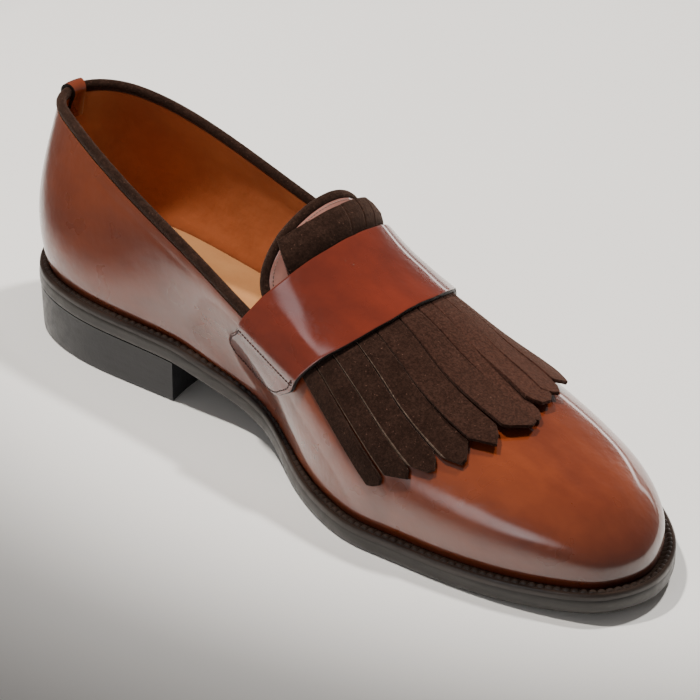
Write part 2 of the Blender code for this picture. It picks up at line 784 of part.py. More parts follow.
def make_kiltie():
    """Folded suede piece under the strap, with its fringe strips fused on in front."""
    cells = strip_columns()
    low, high = [], []
    for back, under, rise in FOLD:
        shrink = FOLD_SHRINK * (1 - FOLD_CORNER * (back / FOLD[0][0]) ** 2)
        row = [cell[0] * shrink for cell in cells]
        low.append([over(strap_rear(c) - back, c, KILTIE_LOW + under) for c in row])
        high.append([over(strap_rear(c) - back, c, KILTIE_LOW + KILTIE + rise) for c in row])
    for i in range(KILTIE_BASE_ROWS + 1):
        u = i / KILTIE_BASE_ROWS
        row = [cell[0] * blend(FOLD_SHRINK, 1.0, smooth(u)) for cell in cells]
        ss = [blend(strap_rear(c), strap_front(cell[0]) - STRIP_START_S, u) for c, cell in zip(row, cells)]
        low.append([over(s, c, KILTIE_LOW) for s, c in zip(ss, row)])
        high.append([over(s, c, KILTIE_LOW + KILTIE) for s, c in zip(ss, row)])
    whole_rows = len(low) - 1
    for i in range(1, STRIP_ROWS + 1):
        u = i / STRIP_ROWS
        low_row, high_row = [], []
        for c0, c1, tip, lift in cells:
            s = blend(strap_front(c0) - STRIP_START_S, tip, u)
            c = blend(c0, c1, u)
            off = KILTIE_LOW + lift * smooth((u - STRIP_FLAT) / (1 - STRIP_FLAT))
            low_row.append(over(s, c, off))
            high_row.append(over(s, c, off + KILTIE))
        low.append(low_row)
        high.append(high_row)
    return sheet("kiltie", "dark_suede", low, high, lambda i, j: i < whole_rows or j % 3 != 2)


def centre_on_floor(items):
    """Move every mesh so that the middle of the whole shoe's box stands over the origin."""
    spots = [v.co for item in items for v in item.data.vertices]
    low = [min(p[i] for p in spots) for i in range(3)]
    high = [max(p[i] for p in spots) for i in range(3)]
    shift = ((low[0] + high[0]) / 2, (low[1] + high[1]) / 2, low[2])
    for item in items:
        for v in item.data.vertices:
            v.co = [v.co[i] - shift[i] for i in range(3)]
    return shift


clear_scene()
SHIFT = centre_on_floor([
    make_outsole(),
    make_heel(),
    make_welt(),
    make_upper(),
    make_insole(),
    make_tongue(),
    make_tongue_binding(),
    make_collar_binding(),
    make_heel_tab(),
    make_kiltie(),
    make_strap(),
])
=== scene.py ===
"""Looks of the left kiltie loafer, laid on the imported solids.

The shape tables repeat those of the solids, in millimetres from the back of the heel. A place on the shoe
is a station s (0 at the heel back, TOE at the toe tip) and a signed height c: 0 on the ridge, 1 at the
topline, 2 at the sole, negative on the medial side, which faces the camera. A height t is 2 less the
size of c. Names that end in _S, _C or _T are stations or heights, other sizes of the shoe are
millimetres. Lights and textures are in metres.
"""
from math import cos, pi, radians, sin

import bmesh
import bpy
import numpy as np
from mathutils import Matrix


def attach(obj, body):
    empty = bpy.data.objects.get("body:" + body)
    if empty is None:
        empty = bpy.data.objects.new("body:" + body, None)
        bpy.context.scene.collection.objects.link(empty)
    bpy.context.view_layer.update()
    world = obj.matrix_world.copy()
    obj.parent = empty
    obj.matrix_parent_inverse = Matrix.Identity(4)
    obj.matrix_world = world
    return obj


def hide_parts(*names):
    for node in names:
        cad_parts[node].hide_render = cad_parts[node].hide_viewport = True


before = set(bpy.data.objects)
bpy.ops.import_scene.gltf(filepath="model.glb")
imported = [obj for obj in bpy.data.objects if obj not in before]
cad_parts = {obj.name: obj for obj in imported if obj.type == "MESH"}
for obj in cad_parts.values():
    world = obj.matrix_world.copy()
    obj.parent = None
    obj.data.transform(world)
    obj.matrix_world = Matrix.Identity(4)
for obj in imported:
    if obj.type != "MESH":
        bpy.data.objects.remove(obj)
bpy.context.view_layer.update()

MM = 0.001
SHIFT = np.array([150.0996, 3.7643, 0.0])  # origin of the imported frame, in the tables' millimetres
SAMPLE = 0.02  # step for reading directions, in stations or heights
TINY = 1e-9

# sole, heel and welt
TOE_X = 300.0
TOE_SPRING = 4.7
TREAD_START_X = 182.8
TREAD_END_X = 220.5
BREAST_X = 94.0
BREAST_S = 4.0
BREAST_HOLLOW = 6.0
BREAST_HALF = 31.0
STATION_LENGTH = 28.0
HEEL_TOP_Z = 18.0
SEAT_RISE = 0.12
ARCH_HOLLOW = 0.55
ARCH_END = 1.6
ARCH_BLEND = 0.7
GAP = 0.3
OUTSOLE = 5.5
EDGE_BEVEL = 0.8
WELT = 2.6
SOLE_EDGE = OUTSOLE + GAP + WELT
HEEL_INSET_TOP = 0.3
HEEL_INSET_FLOOR = 1.2
RIDGE_ROW_INSET = 2.0
RIDGE_PITCH = 3.0
RIDGE_ROUND = 0.7
WELT_INNER_GAP = 0.25

# upper, collar bead and heel tab
WALL = 2.2
INSOLE = 3.0
COLLAR_END_S = 6.25
THROAT_S = 7.1
THROAT_POWER = 0.7
FAN_START_S = 9.5
FAN_RUN_S = 3.0
BEAD_UP = 2.1
BEAD_OUT = 1.9
TAB = 1.2
TAB_GAP = 0.25
TAB_HALF_S = 0.34
TAB_LEG = 11.0
TAB_INNER_LEG = 9.0
TAB_SHOULDER = 2.6

# creases of the upper: depths and where they lie; a pair is a middle and a half width, or a fade's ends
COLLAR_TROUGH = 0.13
COLLAR_TROUGH_C = 1.19
COLLAR_TROUGH_MIDDLE_S = 4.2
COLLAR_TROUGH_SLOPE = 0.012
COLLAR_TROUGH_HALF_C = 0.022
COLLAR_TROUGH_START_S = (2.6, 3.3)
COLLAR_TROUGH_END_S = (5.4, 4.7)
VAMP_WAVE = 0.10
VAMP_WAVE_S = (11.2, 1.5)
VAMP_WAVE_C = (0.75, 0.5)
FLEX_CREASE = 0.18
FLEX_CREASE_C = (1.25, 0.35)
TOE_TROUGH = 0.12
TOE_TROUGH_BEND = 0.08
TOE_TROUGH_HALF_C = 0.06
FOOT_FLARE = 0.8
FOOT_FLARE_T = 0.12
WAIST_FLARE = 1.9
WAIST_FLARE_T = 0.65
WAIST_FLARE_POWER = 1.5
WAIST_S = (6.0, 1.5)

# shares of the darker colour and where they fade in: painted shade along the foot of the upper, a darker
# toe tip and heel
FOOT_PAINTED_SHADE = 0.4
FOOT_PAINTED_SHADE_T = 0.07
TOE_DARKENING = 0.65
TOE_DARKENING_S = (11.8, 14.4)
TOE_DARKENING_T = (1.35, 0.45)
HEEL_DARKENING = 0.12
HEEL_DARKENING_S = (1.6, 0.0)

# tongue
TONGUE = 1.6
TONGUE_SUNK = -2.9
TONGUE_END_LIFT = 0.3
TONGUE_LIFT_S = 0.5
TONGUE_HALF_C = 0.77
TONGUE_END_S = 6.07
TONGUE_ROUND_S = 0.40
TONGUE_BLUNT = 0.95
TONGUE_LENGTH_S = 1.86
TONGUE_BEAD = 1.6
TONGUE_BEAD_S = 0.42
TONGUE_RIPPLE = 0.15
TONGUE_RIPPLE_C = (0.6, 0.15)
TONGUE_SEAM_C = 0.02
TONGUE_SEAM_S = 0.03

# strap
STRAP = 1.6
STRAP_LOW = 0.35
STRAP_HIGH = 2.1
STRAP_DROP_C = 1.09
STRAP_DROP_RUN_C = 0.17
STRAP_ROUND = 0.6
STRAP_RIPPLE = 0.07
STRAP_RIPPLE_C = (1.1, 0.9)
STRAP_SEAM_C = (1.16, 1.545)
STRAP_SEAM_INSET_S = 0.05
STRAP_SEAM_INSET_C = 0.01
STRAP_CROSS_SEAM_C = 0.05

# kiltie
KILTIE = 1.4
KILTIE_LOW = 0.35
KILTIE_TOP = KILTIE_LOW + KILTIE
FOLD_BASE = 0.53
FOLD_SHRINK = 0.47
FOLD_CORNER = 0.06
FOLD_ROUND = 0.9
FOLD_SLIT = 0.3
FOLD_SLIT_C = 0.006
STRIP_START_S = 0.13
STRIP_OVERLAP_S = 0.03
STRIP_FLAT = 0.3
STRIP_ROUND = 0.4
STRIP_CURVE = 1.1
STRIP_RIPPLE = 0.1
STRIP_PAINTED_LIGHT = (0.05, 0.9)  # share of painted light, a warmer and lighter tone, on near and far strips
STRIP_PAINTED_LIGHT_FROM = (2.5, 7.5)  # strips between which it changes
# painted shade: less of the painted light near the strips' roots, under the strap
STRIP_ROOT_SHADE = 0.3

# photograph's camera: pixels, degrees and millimetres
PHOTO_WIDTH = 700
CAMERA_FOCAL = 3117.05
CAMERA_AZIMUTH = -47.36
CAMERA_ELEVATION = 31.9
CAMERA_ROLL = 2.2
CAMERA_DISTANCE = 1133.24
CAMERA_RIGHT = 4.09
CAMERA_UP = 5.07
CAMERA_AIM = np.array([150.0, 0.0, 30.0])
CAMERA_CLIP = (0.05, 20.0)  # metres
SENSOR = 36.0

# one row for each station from the heel back to the toe tip; med and lat are half widths
OUTLINE = [  # x, med, lat
    (3.0, 1.0, -1.0),
    (8.5, 17.2, 19.2),
    (23.0, 31.2, 32.0),
    (48.0, 36.2, 35.8),
    (75.0, 33.3, 36.0),
    (105.0, 28.1, 36.3),
    (135.0, 25.0, 38.8),
    (165.0, 37.8, 45.5),
    (195.0, 47.1, 53.0),
    (215.0, 45.7, 55.0),
    (235.0, 42.4, 53.0),
    (255.0, 37.7, 47.5),
    (272.0, 31.7, 39.0),
    (286.0, 24.6, 28.2),
    (295.0, 16.0, 16.6),
    (300.0, 0.0, 0.0),
]
TOE = len(OUTLINE) - 1
RIDGE_END_S = TOE - 0.6  # the ridge's slope is read up to here
TOE_TIP_S = TOE - 1  # beyond this, directions are read no higher than TOE_TIP_T
TOE_TIP_T = 1.9
RIDGE_T = 1.999  # heights above this lie on the ridge

WALLS = [  # inset, bulge, rise
    (4.4, 12.0, 19.0),
    (4.4, 11.5, 19.0),
    (4.5, 8.5, 18.0),
    (4.7, 5.0, 16.0),
    (4.8, 3.0, 15.0),
    (4.8, 2.5, 13.0),
    (4.9, 2.5, 12.0),
    (5.1, 2.5, 12.0),
    (5.2, 2.5, 12.0),
    (5.2, 2.5, 12.0),
    (5.2, 2.5, 11.0),
    (5.2, 2.5, 11.0),
    (5.2, 2.5, 11.0),
    (5.2, 2.5, 11.0),
    (5.2, 2.5, 11.0),
    (5.2, 2.5, 11.0),
]

TOPLINE = [  # x, med, lat, z, lean, below, above
    (5.0, -2.0, 2.0, 89.3, 0.18, 22.0, 10.0),
    (9.0, 8.5, 12.5, 89.2, 0.20, 22.0, 10.0),
    (21.0, 14.8, 21.3, 87.6, 0.24, 20.0, 10.0),
    (42.0, 20.3, 27.6, 83.2, 0.28, 18.0, 10.0),
    (68.0, 24.0, 31.5, 76.2, 0.32, 16.0, 10.0),
    (97.0, 26.3, 34.4, 67.7, 0.40, 14.0, 11.0),
    (128.0, 29.5, 37.5, 58.5, 0.55, 13.0, 12.0),
    (160.0, 32.5, 39.5, 50.5, 0.75, 12.0, 13.0),
    (190.0, 34.5, 40.0, 44.0, 0.95, 11.0, 13.0),
    (210.0, 33.5, 39.5, 40.0, 1.10, 11.0, 12.0),
    (229.0, 31.0, 37.5, 36.8, 1.20, 10.0, 11.0),
    (248.5, 27.0, 33.5, 34.0, 1.25, 9.0, 10.0),
    (264.0, 22.3, 27.5, 32.0, 1.25, 9.0, 9.0),
    (275.5, 16.0, 19.0, 30.8, 1.20, 9.0, 9.0),
    (282.0, 8.5, 10.0, 30.2, 1.20, 9.0, 9.0),
    (284.0, -0.6, 0.6, 30.0, 1.20, 9.0, 9.0),
]

RIDGE = [  # x, y, z, crown
    (35.0, 4.0, 113.0, 2.0),
    (38.0, 4.0, 112.5, 6.0),
    (46.0, 5.0, 111.5, 9.0),
    (66.0, 6.5, 109.0, 10.0),
    (90.0, 8.0, 104.5, 12.0),
    (112.0, 9.0, 97.0, 15.0),
    (132.0, 10.0, 87.6, 19.0),
    (157.0, 4.8, 72.2, 16.5),
    (184.0, 3.5, 62.9, 18.0),
    (203.0, 2.0, 55.8, 18.0),
    (220.0, 1.0, 50.0, 17.0),
    (236.0, 0.3, 45.5, 14.0),
    (249.0, 0.0, 42.0, 12.0),
    (258.0, 0.0, 39.8, 11.0),
    (263.0, 0.0, 38.5, 10.0),
    (265.0, 0.0, 38.0, 10.0),
]

STRAP_EDGES = [  # c, rear, front
    (0.00, 6.62, 7.88),
    (0.20, 6.585, 7.84),
    (0.40, 6.495, 7.705),
    (0.60, 6.39, 7.53),
    (0.80, 6.28, 7.345),
    (0.95, 6.225, 7.255),
    (1.08, 6.175, 7.205),
    (1.18, 6.11, 7.15),
    (1.28, 5.98, 7.08),
    (1.36, 5.85, 6.95),
    (1.44, 5.76, 6.79),
    (1.50, 5.73, 6.55),
    (1.545, 5.77, 6.25),
    (1.575, 5.85, 6.02),
]

# heights c at the strap and at the tip, lift and tilt of the tip, 1 for a pale cut edge: a lighter raw edge
# with a painted highlight
STRIPS = [  # strap_left, strap_right, tip_left, tip_right, lift, tilt, pale
    (-1.050, -0.903, -1.550, -1.378, 0.3, 0.1, 0),
    (-0.897, -0.745, -1.365, -1.132, 0.4, 0.1, 1),
    (-0.739, -0.534, -1.150, -0.880, 0.4, 0.1, 1),
    (-0.528, -0.355, -0.900, -0.592, 0.5, 0.1, 1),
    (-0.349, -0.136, -0.584, -0.275, 1.9, 0.0, 0),
    (-0.130, 0.036, -0.250, 0.072, 2.2, 0.5, 0),
    (0.042, 0.182, 0.068, 0.210, 0.6, 0.1, 0),
    (0.188, 0.373, 0.170, 0.430, 2.2, 0.2, 0),
    (0.379, 0.587, 0.365, 0.600, 2.1, 0.2, 0),
    (0.593, 0.807, 0.605, 0.950, 2.0, 0.2, 0),
    (0.813, 1.020, 0.960, 1.350, 1.0, 0.2, 0),
]

FOLD_SLITS = (0.02, 0.16, 0.29)
TIP_ACROSS = (0.0, 0.12, 0.35, 0.75, 1.0)
TIPS = [  # station of each strip's end at those shares of its width
    (8.60, 8.75, 8.88, 8.90, 8.80),
    (8.95, 9.15, 9.45, 9.44, 9.28),
    (9.38, 9.78, 9.90, 9.83, 9.72),
    (9.92, 10.30, 10.36, 10.32, 10.30),
    (10.30, 10.48, 10.86, 10.82, 10.70),
    (10.80, 10.95, 11.10, 11.38, 11.25),
    (11.00, 11.15, 11.20, 11.10, 10.90),
    (10.55, 10.68, 10.80, 10.74, 10.55),
    (10.40, 10.45, 10.50, 10.48, 10.25),
    (10.05, 10.06, 10.03, 9.95, 9.55),
    (9.45, 9.40, 9.30, 9.10, 8.90),
]

# stations back from the strap's rear edge, lift of the underside, rise of the top
FOLD = [  # back, under, rise
    (0.00, 0.0, 0.0),
    (0.02, 0.0, 0.0),
    (0.08, 0.0, 1.3),
    (0.18, 0.0, 2.6),
    (0.32, 0.1, 2.6),
    (0.42, 0.3, 1.9),
    (0.44, 0.6, 0.65),
]

FLEX_CREASES = [  # share, slant, station, half width
    (1.0, 0.25, 8.3, 0.09),
    (0.7, 0.20, 8.75, 0.08),
    (0.5, -0.10, 9.3, 0.10),
]

TOE_TROUGHS = [  # share, height c, station where it bends, station, half length
    (1.0, 0.56, 11.7, 11.9, 0.8),
    (0.8, 0.33, 12.2, 12.3, 0.9),
]

STRAP_BOWS = [  # rise, height c, half width, station, half length
    (0.35, -0.83, 0.10, 6.9, 0.5),
    (-0.25, -1.00, 0.07, 7.0, 0.5),
]

SOLE_WALL = [  # inset, height above the underside
    (EDGE_BEVEL, 0.0),
    (0.3, 0.25),
    (0.0, EDGE_BEVEL),
    (-0.12, 2.0),
    (-0.12, 3.8),
    (0.0, 5.2),
    (0.25, OUTSOLE + 0.15),
]

SOCK_LOW = OUTSOLE + GAP
SOCK_TOP = SOCK_LOW + INSOLE
SOCK_WALL = [  # inset from the upper, height above the underside of the outsole
    (0.0, SOCK_LOW),
    (0.0, SOCK_TOP - 0.6),
    (0.25, SOCK_TOP - 0.1),
    (0.8, SOCK_TOP),
]

WELT_ROWS = [  # inset, height of the ridges, height above the welt's underside
    (0.35, 0.0, 0.0),
    (0.0, 0.0, -0.15),
    (0.0, 0.0, 0.8),
    (0.12, 0.0, WELT - 0.4),
    (0.5, 0.0, WELT - 0.12),
    (1.0, 0.0, WELT),
    (1.35, 0.15, WELT - 0.35),
    (1.7, 0.8, WELT - 0.4),
    (2.3, 1.0, WELT - 0.35),
    (2.9, 0.8, WELT - 0.4),
    (3.3, 0.1, WELT - 0.6),
]
WELT_INNER_LIFTS = (WELT - 0.8, 0.0)

HEEL_FOOT = [  # inset, height above the floor
    (1.9, 0.0),
    (HEEL_INSET_FLOOR + 0.1, 0.5),
    (HEEL_INSET_FLOOR, 1.2),
]


# shape of the shoe


def unit(v):
    return v / np.maximum(np.linalg.norm(v, axis=-1, keepdims=True), TINY)


def blend(a, b, u):
    return a + (b - a) * u


def smooth(u):
    u = np.clip(u, 0.0, 1.0)
    return u * u * (3 - 2 * u)


def between(value, start, end):
    """Smooth step from 0 at start to 1 at end."""
    return smooth((value - start) / (end - start))


def hump(u, middle, width):
    """Soft bell of height 1."""
    return np.exp(-((u - middle) / width) ** 2)


def round_curve(med, lat):
    """Smooth value round the shoe; s is positive on the lateral side, negative on the medial side."""
    values = np.array([*lat, *med[-2:0:-1]])
    n = len(values)
    matrix = 4 * np.eye(n) + np.roll(np.eye(n), 1, axis=1) + np.roll(np.eye(n), -1, axis=1)
    slopes = np.linalg.solve(matrix, 3 * (np.roll(values, -1) - np.roll(values, 1)))

    def value(s):
        whole = np.floor(s)
        f = s - whole
        i = whole.astype(int) % n
        j = (i + 1) % n
        low = values[i] * (1 + 2 * f) + slopes[i] * f
        high = values[j] * (3 - 2 * f) + slopes[j] * (f - 1)
        return low * (1 - f) ** 2 + high * f * f

    return value


def columns(table, *picks):
    """Curves of table columns that are the same on both sides."""
    return [round_curve([r[k] for r in table], [r[k] for r in table]) for k in picks]


def sided(table, med, lat):
    """Curve of y from a medial and a lateral column."""
    return round_curve([-r[med] for r in table], [r[lat] for r in table])


(edge_x,) = columns(OUTLINE, 0)
edge_y = sided(OUTLINE, 1, 2)
foot_inset, foot_bulge, foot_rise = columns(WALLS, 0, 1, 2)
top_x, top_z, top_lean, top_below, top_above = columns(TOPLINE, 0, 3, 4, 5, 6)
top_y = sided(TOPLINE, 1, 2)
ridge_x, ridge_y, ridge_z, ridge_crown = columns(RIDGE, 0, 1, 2, 3)


def table_value(table, at, column):
    """Smooth reading of a table whose first column rises."""
    data = np.array(table)
    keys, values = data[:, 0], data[:, column]
    last = len(keys) - 1
    before = np.maximum(np.arange(last + 1) - 1, 0)
    after = np.minimum(np.arange(last + 1) + 1, last)
    slopes = (values[after] - values[before]) / (keys[after] - keys[before])
    at = np.clip(at, keys[0], keys[last])
    i = np.clip(np.searchsorted(keys, at, side="right") - 1, 0, last - 1)
    width = keys[i + 1] - keys[i]
    f = (at - keys[i]) / width
    low = values[i] * (1 + 2 * f) + slopes[i] * width * f
    high = values[i + 1] * (3 - 2 * f) + slopes[i + 1] * width * (f - 1)
    return low * (1 - f) ** 2 + high * f * f


def sole_z(x):
    """Height of the underside of the outsole."""
    t = (TREAD_START_X - x) / (TREAD_START_X - BREAST_X)
    seat = HEEL_TOP_Z * (1 + SEAT_RISE * (np.minimum(t, ARCH_END) - 1))
    arch = np.where(t < ARCH_END, HEEL_TOP_Z * t * t * (1 + ARCH_HOLLOW * (1 - t)), 2 * HEEL_TOP_Z)
    arch = np.where(t > 0, arch, 0.0)
    z = (seat + arch) / 2 - np.sqrt(((seat - arch) / 2) ** 2 + ARCH_BLEND ** 2)
    spring = np.maximum(0.0, (x - TREAD_END_X) / (TOE_X - TREAD_END_X))
    return np.maximum(0.0, z) + TOE_SPRING * spring ** 2


def sole_edge(s, inset):
    """Plan point of the outline moved in by inset, with the outward direction."""
    dx = edge_x(s + SAMPLE) - edge_x(s - SAMPLE)
    dy = edge_y(s + SAMPLE) - edge_y(s - SAMPLE)
    r = np.sqrt(dx * dx + dy * dy)
    nx, ny = -dy / r, dx / r
    return edge_x(s) - nx * inset, edge_y(s) - ny * inset, nx, ny


def ridge_slope(s):
    """Rise of the ridge for each millimetre toward the toe."""
    a = np.clip(np.abs(s), BREAST_S, RIDGE_END_S)
    rise = ridge_z(a + SAMPLE) - ridge_z(a - SAMPLE)
    return rise / (ridge_x(a + SAMPLE) - ridge_x(a - SAMPLE))


def bezier(points, u):
    """Cubic curve through four (x, y, z) points."""
    v = 1 - u
    weights = (v * v * v, 3 * v * v * u, 3 * v * u * u, u * u * u)
    return np.stack([sum(w * p[i] for w, p in zip(weights, points)) for i in range(3)], axis=-1)


def rib(s, t):
    """Outer skin of the last: t is 0 at the sole, 1 at the topline, 2 on the ridge."""
    x, y, nx, ny = sole_edge(s, foot_inset(s))
    top = (top_x(s), top_y(s), top_z(s))
    r = np.sqrt(1 + top_lean(s) ** 2)
    lean, up = top_lean(s) / r, 1 / r
    z = sole_z(x) + SOLE_EDGE
    b, h = foot_bulge(s), top_below(s)
    low = (x + nx * b, y + ny * b, z + foot_rise(s))
    high = (top[0] + nx * lean * h, top[1] + ny * lean * h, top[2] - up * h)
    wall = bezier(((x, y, z), low, high, top), np.clip(t, 0, 1))
    h, crown = top_above(s), ridge_crown(s)
    low = (top[0] - nx * lean * h, top[1] - ny * lean * h, top[2] + up * h)
    end = (ridge_x(s), ridge_y(s), ridge_z(s))
    fan = nx * between(np.abs(s), FAN_START_S, FAN_START_S + FAN_RUN_S)
    r = np.maximum(np.sqrt(fan * fan + ny * ny), TINY)
    across, along = crown * ny / r, crown * fan / r
    high = (end[0] + along, end[1] + across, end[2] + along * ridge_slope(s))
    roof = bezier((top, low, high, end), np.clip(t - 1, 0, 1))
    return np.where((t <= 1)[..., None], wall, roof)


def normal(s, t):
    """Outward direction of the skin."""
    t = np.clip(t, SAMPLE, np.where(np.abs(s) > TOE_TIP_S, TOE_TIP_T, 2 - SAMPLE))
    along = rib(s + SAMPLE, t) - rib(s - SAMPLE, t)
    up = rib(s, t + SAMPLE) - rib(s, t - SAMPLE)
    return unit(np.cross(up, along))


def skin(s, t, off):
    """Point of the last moved out by off; ridge points are the mean of both sides."""
    s, t, off = np.broadcast_arrays(np.asarray(s, float), np.asarray(t, float), np.asarray(off, float))
    n = normal(s, t)
    ridge = (t > RIDGE_T) & (np.abs(s) < TOE)
    both = unit(normal(np.abs(s), t) + normal(-np.abs(s), t))
    n = np.where(ridge[..., None], both, n)
    return rib(np.where(ridge, np.abs(s), s), t) + n * off[..., None]


def over(s, c, off):
    """Same surface with the signed height c."""
    s, c = np.broadcast_arrays(np.asarray(s, float), np.asarray(c, float))
    return skin(np.where(c < 0, -s, s), 2 - np.abs(c), off)


def outward(s, c):
    """Outward direction at a signed height."""
    return unit(over(s, c, 1.0) - over(s, c, 0.0))


def rib_length(s, steps=13):
    """Length of a rib from the sole to the topline."""
    points = rib(*np.broadcast_arrays(s[None], np.linspace(0, 1, steps)[:, None]))
    return np.linalg.norm(np.diff(points, axis=0), axis=-1).sum(axis=0)


def cut_height(s):
    """Height t where the upper is cut: under the bead on the collar, up to the ridge at the throat."""
    a = np.abs(s)
    t = 1 - (2 * BEAD_UP + GAP) / rib_length(s)
    u = np.clip((THROAT_S - a) / (THROAT_S - COLLAR_END_S), 0.0, 1.0)
    return np.where(a <= COLLAR_END_S, t, 2 - (2 - t) * u ** THROAT_POWER)


def strap_rear(c):
    """Station of the strap's rear edge."""
    return table_value(STRAP_EDGES, np.abs(c), 1)


def strap_front(c):
    """Station of the strap's front edge."""
    return table_value(STRAP_EDGES, np.abs(c), 2)


def strap_off(c):
    """Height of the strap's underside: over the kiltie, then down on the upper."""
    return blend(STRAP_HIGH, STRAP_LOW, between(np.abs(c), STRAP_DROP_C, STRAP_DROP_C + STRAP_DROP_RUN_C))


def tongue_half(s):
    """Half width of the tongue, rounded at its free end."""
    q = np.maximum(0.0, (TONGUE_END_S + TONGUE_ROUND_S - s) / TONGUE_ROUND_S)
    return TONGUE_HALF_C * (1 - (TONGUE_BLUNT * q) ** 3) ** (1 / 3)


def tongue_top(s):
    """Height of the tongue's top: lifted at its free end, sunk under the strap."""
    return blend(TONGUE_END_LIFT, TONGUE_SUNK, between(s, TONGUE_END_S, TONGUE_END_S + TONGUE_LIFT_S))


# mesh building


def grid_faces(rows, cols, base=0, wrap=False, flip=False):
    """Quads of a grid of points; wrap joins the last column to the first."""
    i, j = np.meshgrid(np.arange(rows - 1), np.arange(cols if wrap else cols - 1), indexing="ij")
    k = (j + 1) % cols
    quads = np.stack([i * cols + j, i * cols + k, (i + 1) * cols + k, (i + 1) * cols + j], axis=-1)
    quads = quads.reshape(-1, 4) + base
    return quads[:, ::-1] if flip else quads


def ring_faces(low, high, count):
    """Quads between two closed rings of count points that start at low and high."""
    j = np.arange(count)
    k = (j + 1) % count
    return np.stack([low + j, low + k, high + k, high + j], axis=-1)


def tube_faces(rings, sides):
    """Quads of a tube of rings, with a face over each end."""
    quads = [tuple(f) for f in grid_faces(rings, sides, wrap=True)]
    return quads + [tuple(range(sides)), tuple(range((rings - 1) * sides, rings * sides))]


def solid(low, high, top=0, side=1):
    """Closed sheet between two grids: points, faces and a material for each face."""
    rows, cols = low.shape[:2]
    n = rows * cols
    i, j = np.arange(rows), np.arange(cols)
    loop = np.concatenate([j[:-1], i[:-1] * cols + cols - 1, n - 1 - j[:-1], (rows - 1 - i[:-1]) * cols])
    after = np.roll(loop, -1)
    walls = np.stack([loop, after, after + n, loop + n], axis=-1)
    faces = np.concatenate([grid_faces(rows, cols), grid_faces(rows, cols, n, flip=True), walls])
    points = np.concatenate([low.reshape(-1, 3), high.reshape(-1, 3)])
    flags = np.zeros(len(faces), int)
    cells = (rows - 1) * (cols - 1)
    flags[cells:2 * cells] = np.broadcast_to(top, (rows - 1, cols - 1)).ravel()
    flags[-len(walls):] = side
    return points, faces, flags


def joined(parts):
    """Several (points, faces, flags) as one."""
    points, faces, flags, base = [], [], [], 0
    for p, f, g in parts:
        points.append(p)
        faces += [tuple(int(v) + base for v in face) for face in f]
        flags.append(g)
        base += len(p)
    return np.concatenate(points), faces, np.concatenate(flags)


def piece(name, node, points, faces, materials, flags=None, sharp=0.7, weld=True, tone=None):
    """Object from points in table millimetres, standing for a node or added to one."""
    mesh = bpy.data.meshes.new(name)
    mesh.from_pydata(((points - SHIFT) * MM).tolist(), [], [tuple(int(v) for v in f) for f in faces])
    for material in materials:
        mesh.materials.append(material)
    if flags is not None:
        mesh.polygons.foreach_set("material_index", np.asarray(flags, np.int32))
    if tone is not None:
        layer = mesh.attributes.new("tone", "FLOAT", "POINT")
        layer.data.foreach_set("value", np.asarray(tone, np.float32))
    work = bmesh.new()
    work.from_mesh(mesh)
    if weld:
        bmesh.ops.remove_doubles(work, verts=work.verts[:], dist=1e-6)
    bmesh.ops.recalc_face_normals(work, faces=work.faces[:])
    work.to_mesh(mesh)
    work.free()
    mesh.shade_smooth()
    mesh.set_sharp_from_angle(angle=sharp)
    item = bpy.data.objects.new(name, mesh)
    bpy.context.scene.collection.objects.link(item)
    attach(item, "root")
    if node:
        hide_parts(node)


def capsules(starts, ends, ups, radius):
    """Row of small rounded stitches between pairs of points."""
    sides = 8
    profile = [(-0.12, 0.45), (0.08, 0.85), (0.3, 1.0), (0.7, 1.0), (0.92, 0.85), (1.12, 0.45)]
    parts = []
    for a, b, up in zip(starts, ends, ups):
        along = unit(b - a)
        side = unit(np.cross(along, up))
        rings = []
        for u, r in profile:
            for k in range(sides):
                w = 2 * pi * k / sides
                rings.append(blend(a, b, u) + radius * r * (side * cos(w) + up * sin(w)))
        faces = tube_faces(len(profile), sides)
        parts.append((np.array(rings), faces, np.zeros(len(faces), int)))
    return joined(parts)


def stitch_line(points, ups, pitch, fill, radius, lift=0.0):
    """Stitches along a path with its outward directions, pitch apart, each filling a share of the pitch."""
    steps = np.linalg.norm(np.diff(points, axis=0), axis=1)
    run = np.concatenate([[0.0], np.cumsum(steps)])
    count = int(run[-1] / pitch)
    at = (np.arange(count) + 0.5 - fill / 2) * run[-1] / count

    def read(values, where):
        return np.stack([np.interp(where, run, values[:, i]) for i in range(3)], axis=-1)

    up = unit(read(ups, at))
    starts = read(points, at) + up * lift
    ends = read(points, at + fill * pitch) + up * lift
    return capsules(starts, ends, up, radius)


# materials


def shader(name, colour, rough, **sockets):
    """New material; the named sockets are plain values on the shader."""
    material = bpy.data.materials.new(name)
    material.use_nodes = True
    node = material.node_tree.nodes["Principled BSDF"]
    node.inputs["Base Color"].default_value = (*colour, 1.0)
    node.inputs["Roughness"].default_value = rough
    for key, value in sockets.items():
        node.inputs[key.replace("_", " ")].default_value = value
    return material, material.node_tree, node


def noise(tree, scale, detail=4.0, rough=0.55, stretch=None):
    """Noise in object space, in cells per metre."""
    place = tree.nodes.new("ShaderNodeTexCoord")
    out = place.outputs["Object"]
    if stretch:
        mapping = tree.nodes.new("ShaderNodeMapping")
        mapping.inputs["Scale"].default_value = stretch
        tree.links.new(out, mapping.inputs["Vector"])
        out = mapping.outputs["Vector"]
    node = tree.nodes.new("ShaderNodeTexNoise")
    node.inputs["Scale"].default_value = scale
    node.inputs["Detail"].default_value = detail
    node.inputs["Roughness"].default_value = rough
    tree.links.new(out, node.inputs["Vector"])
    return node.outputs["Fac"]


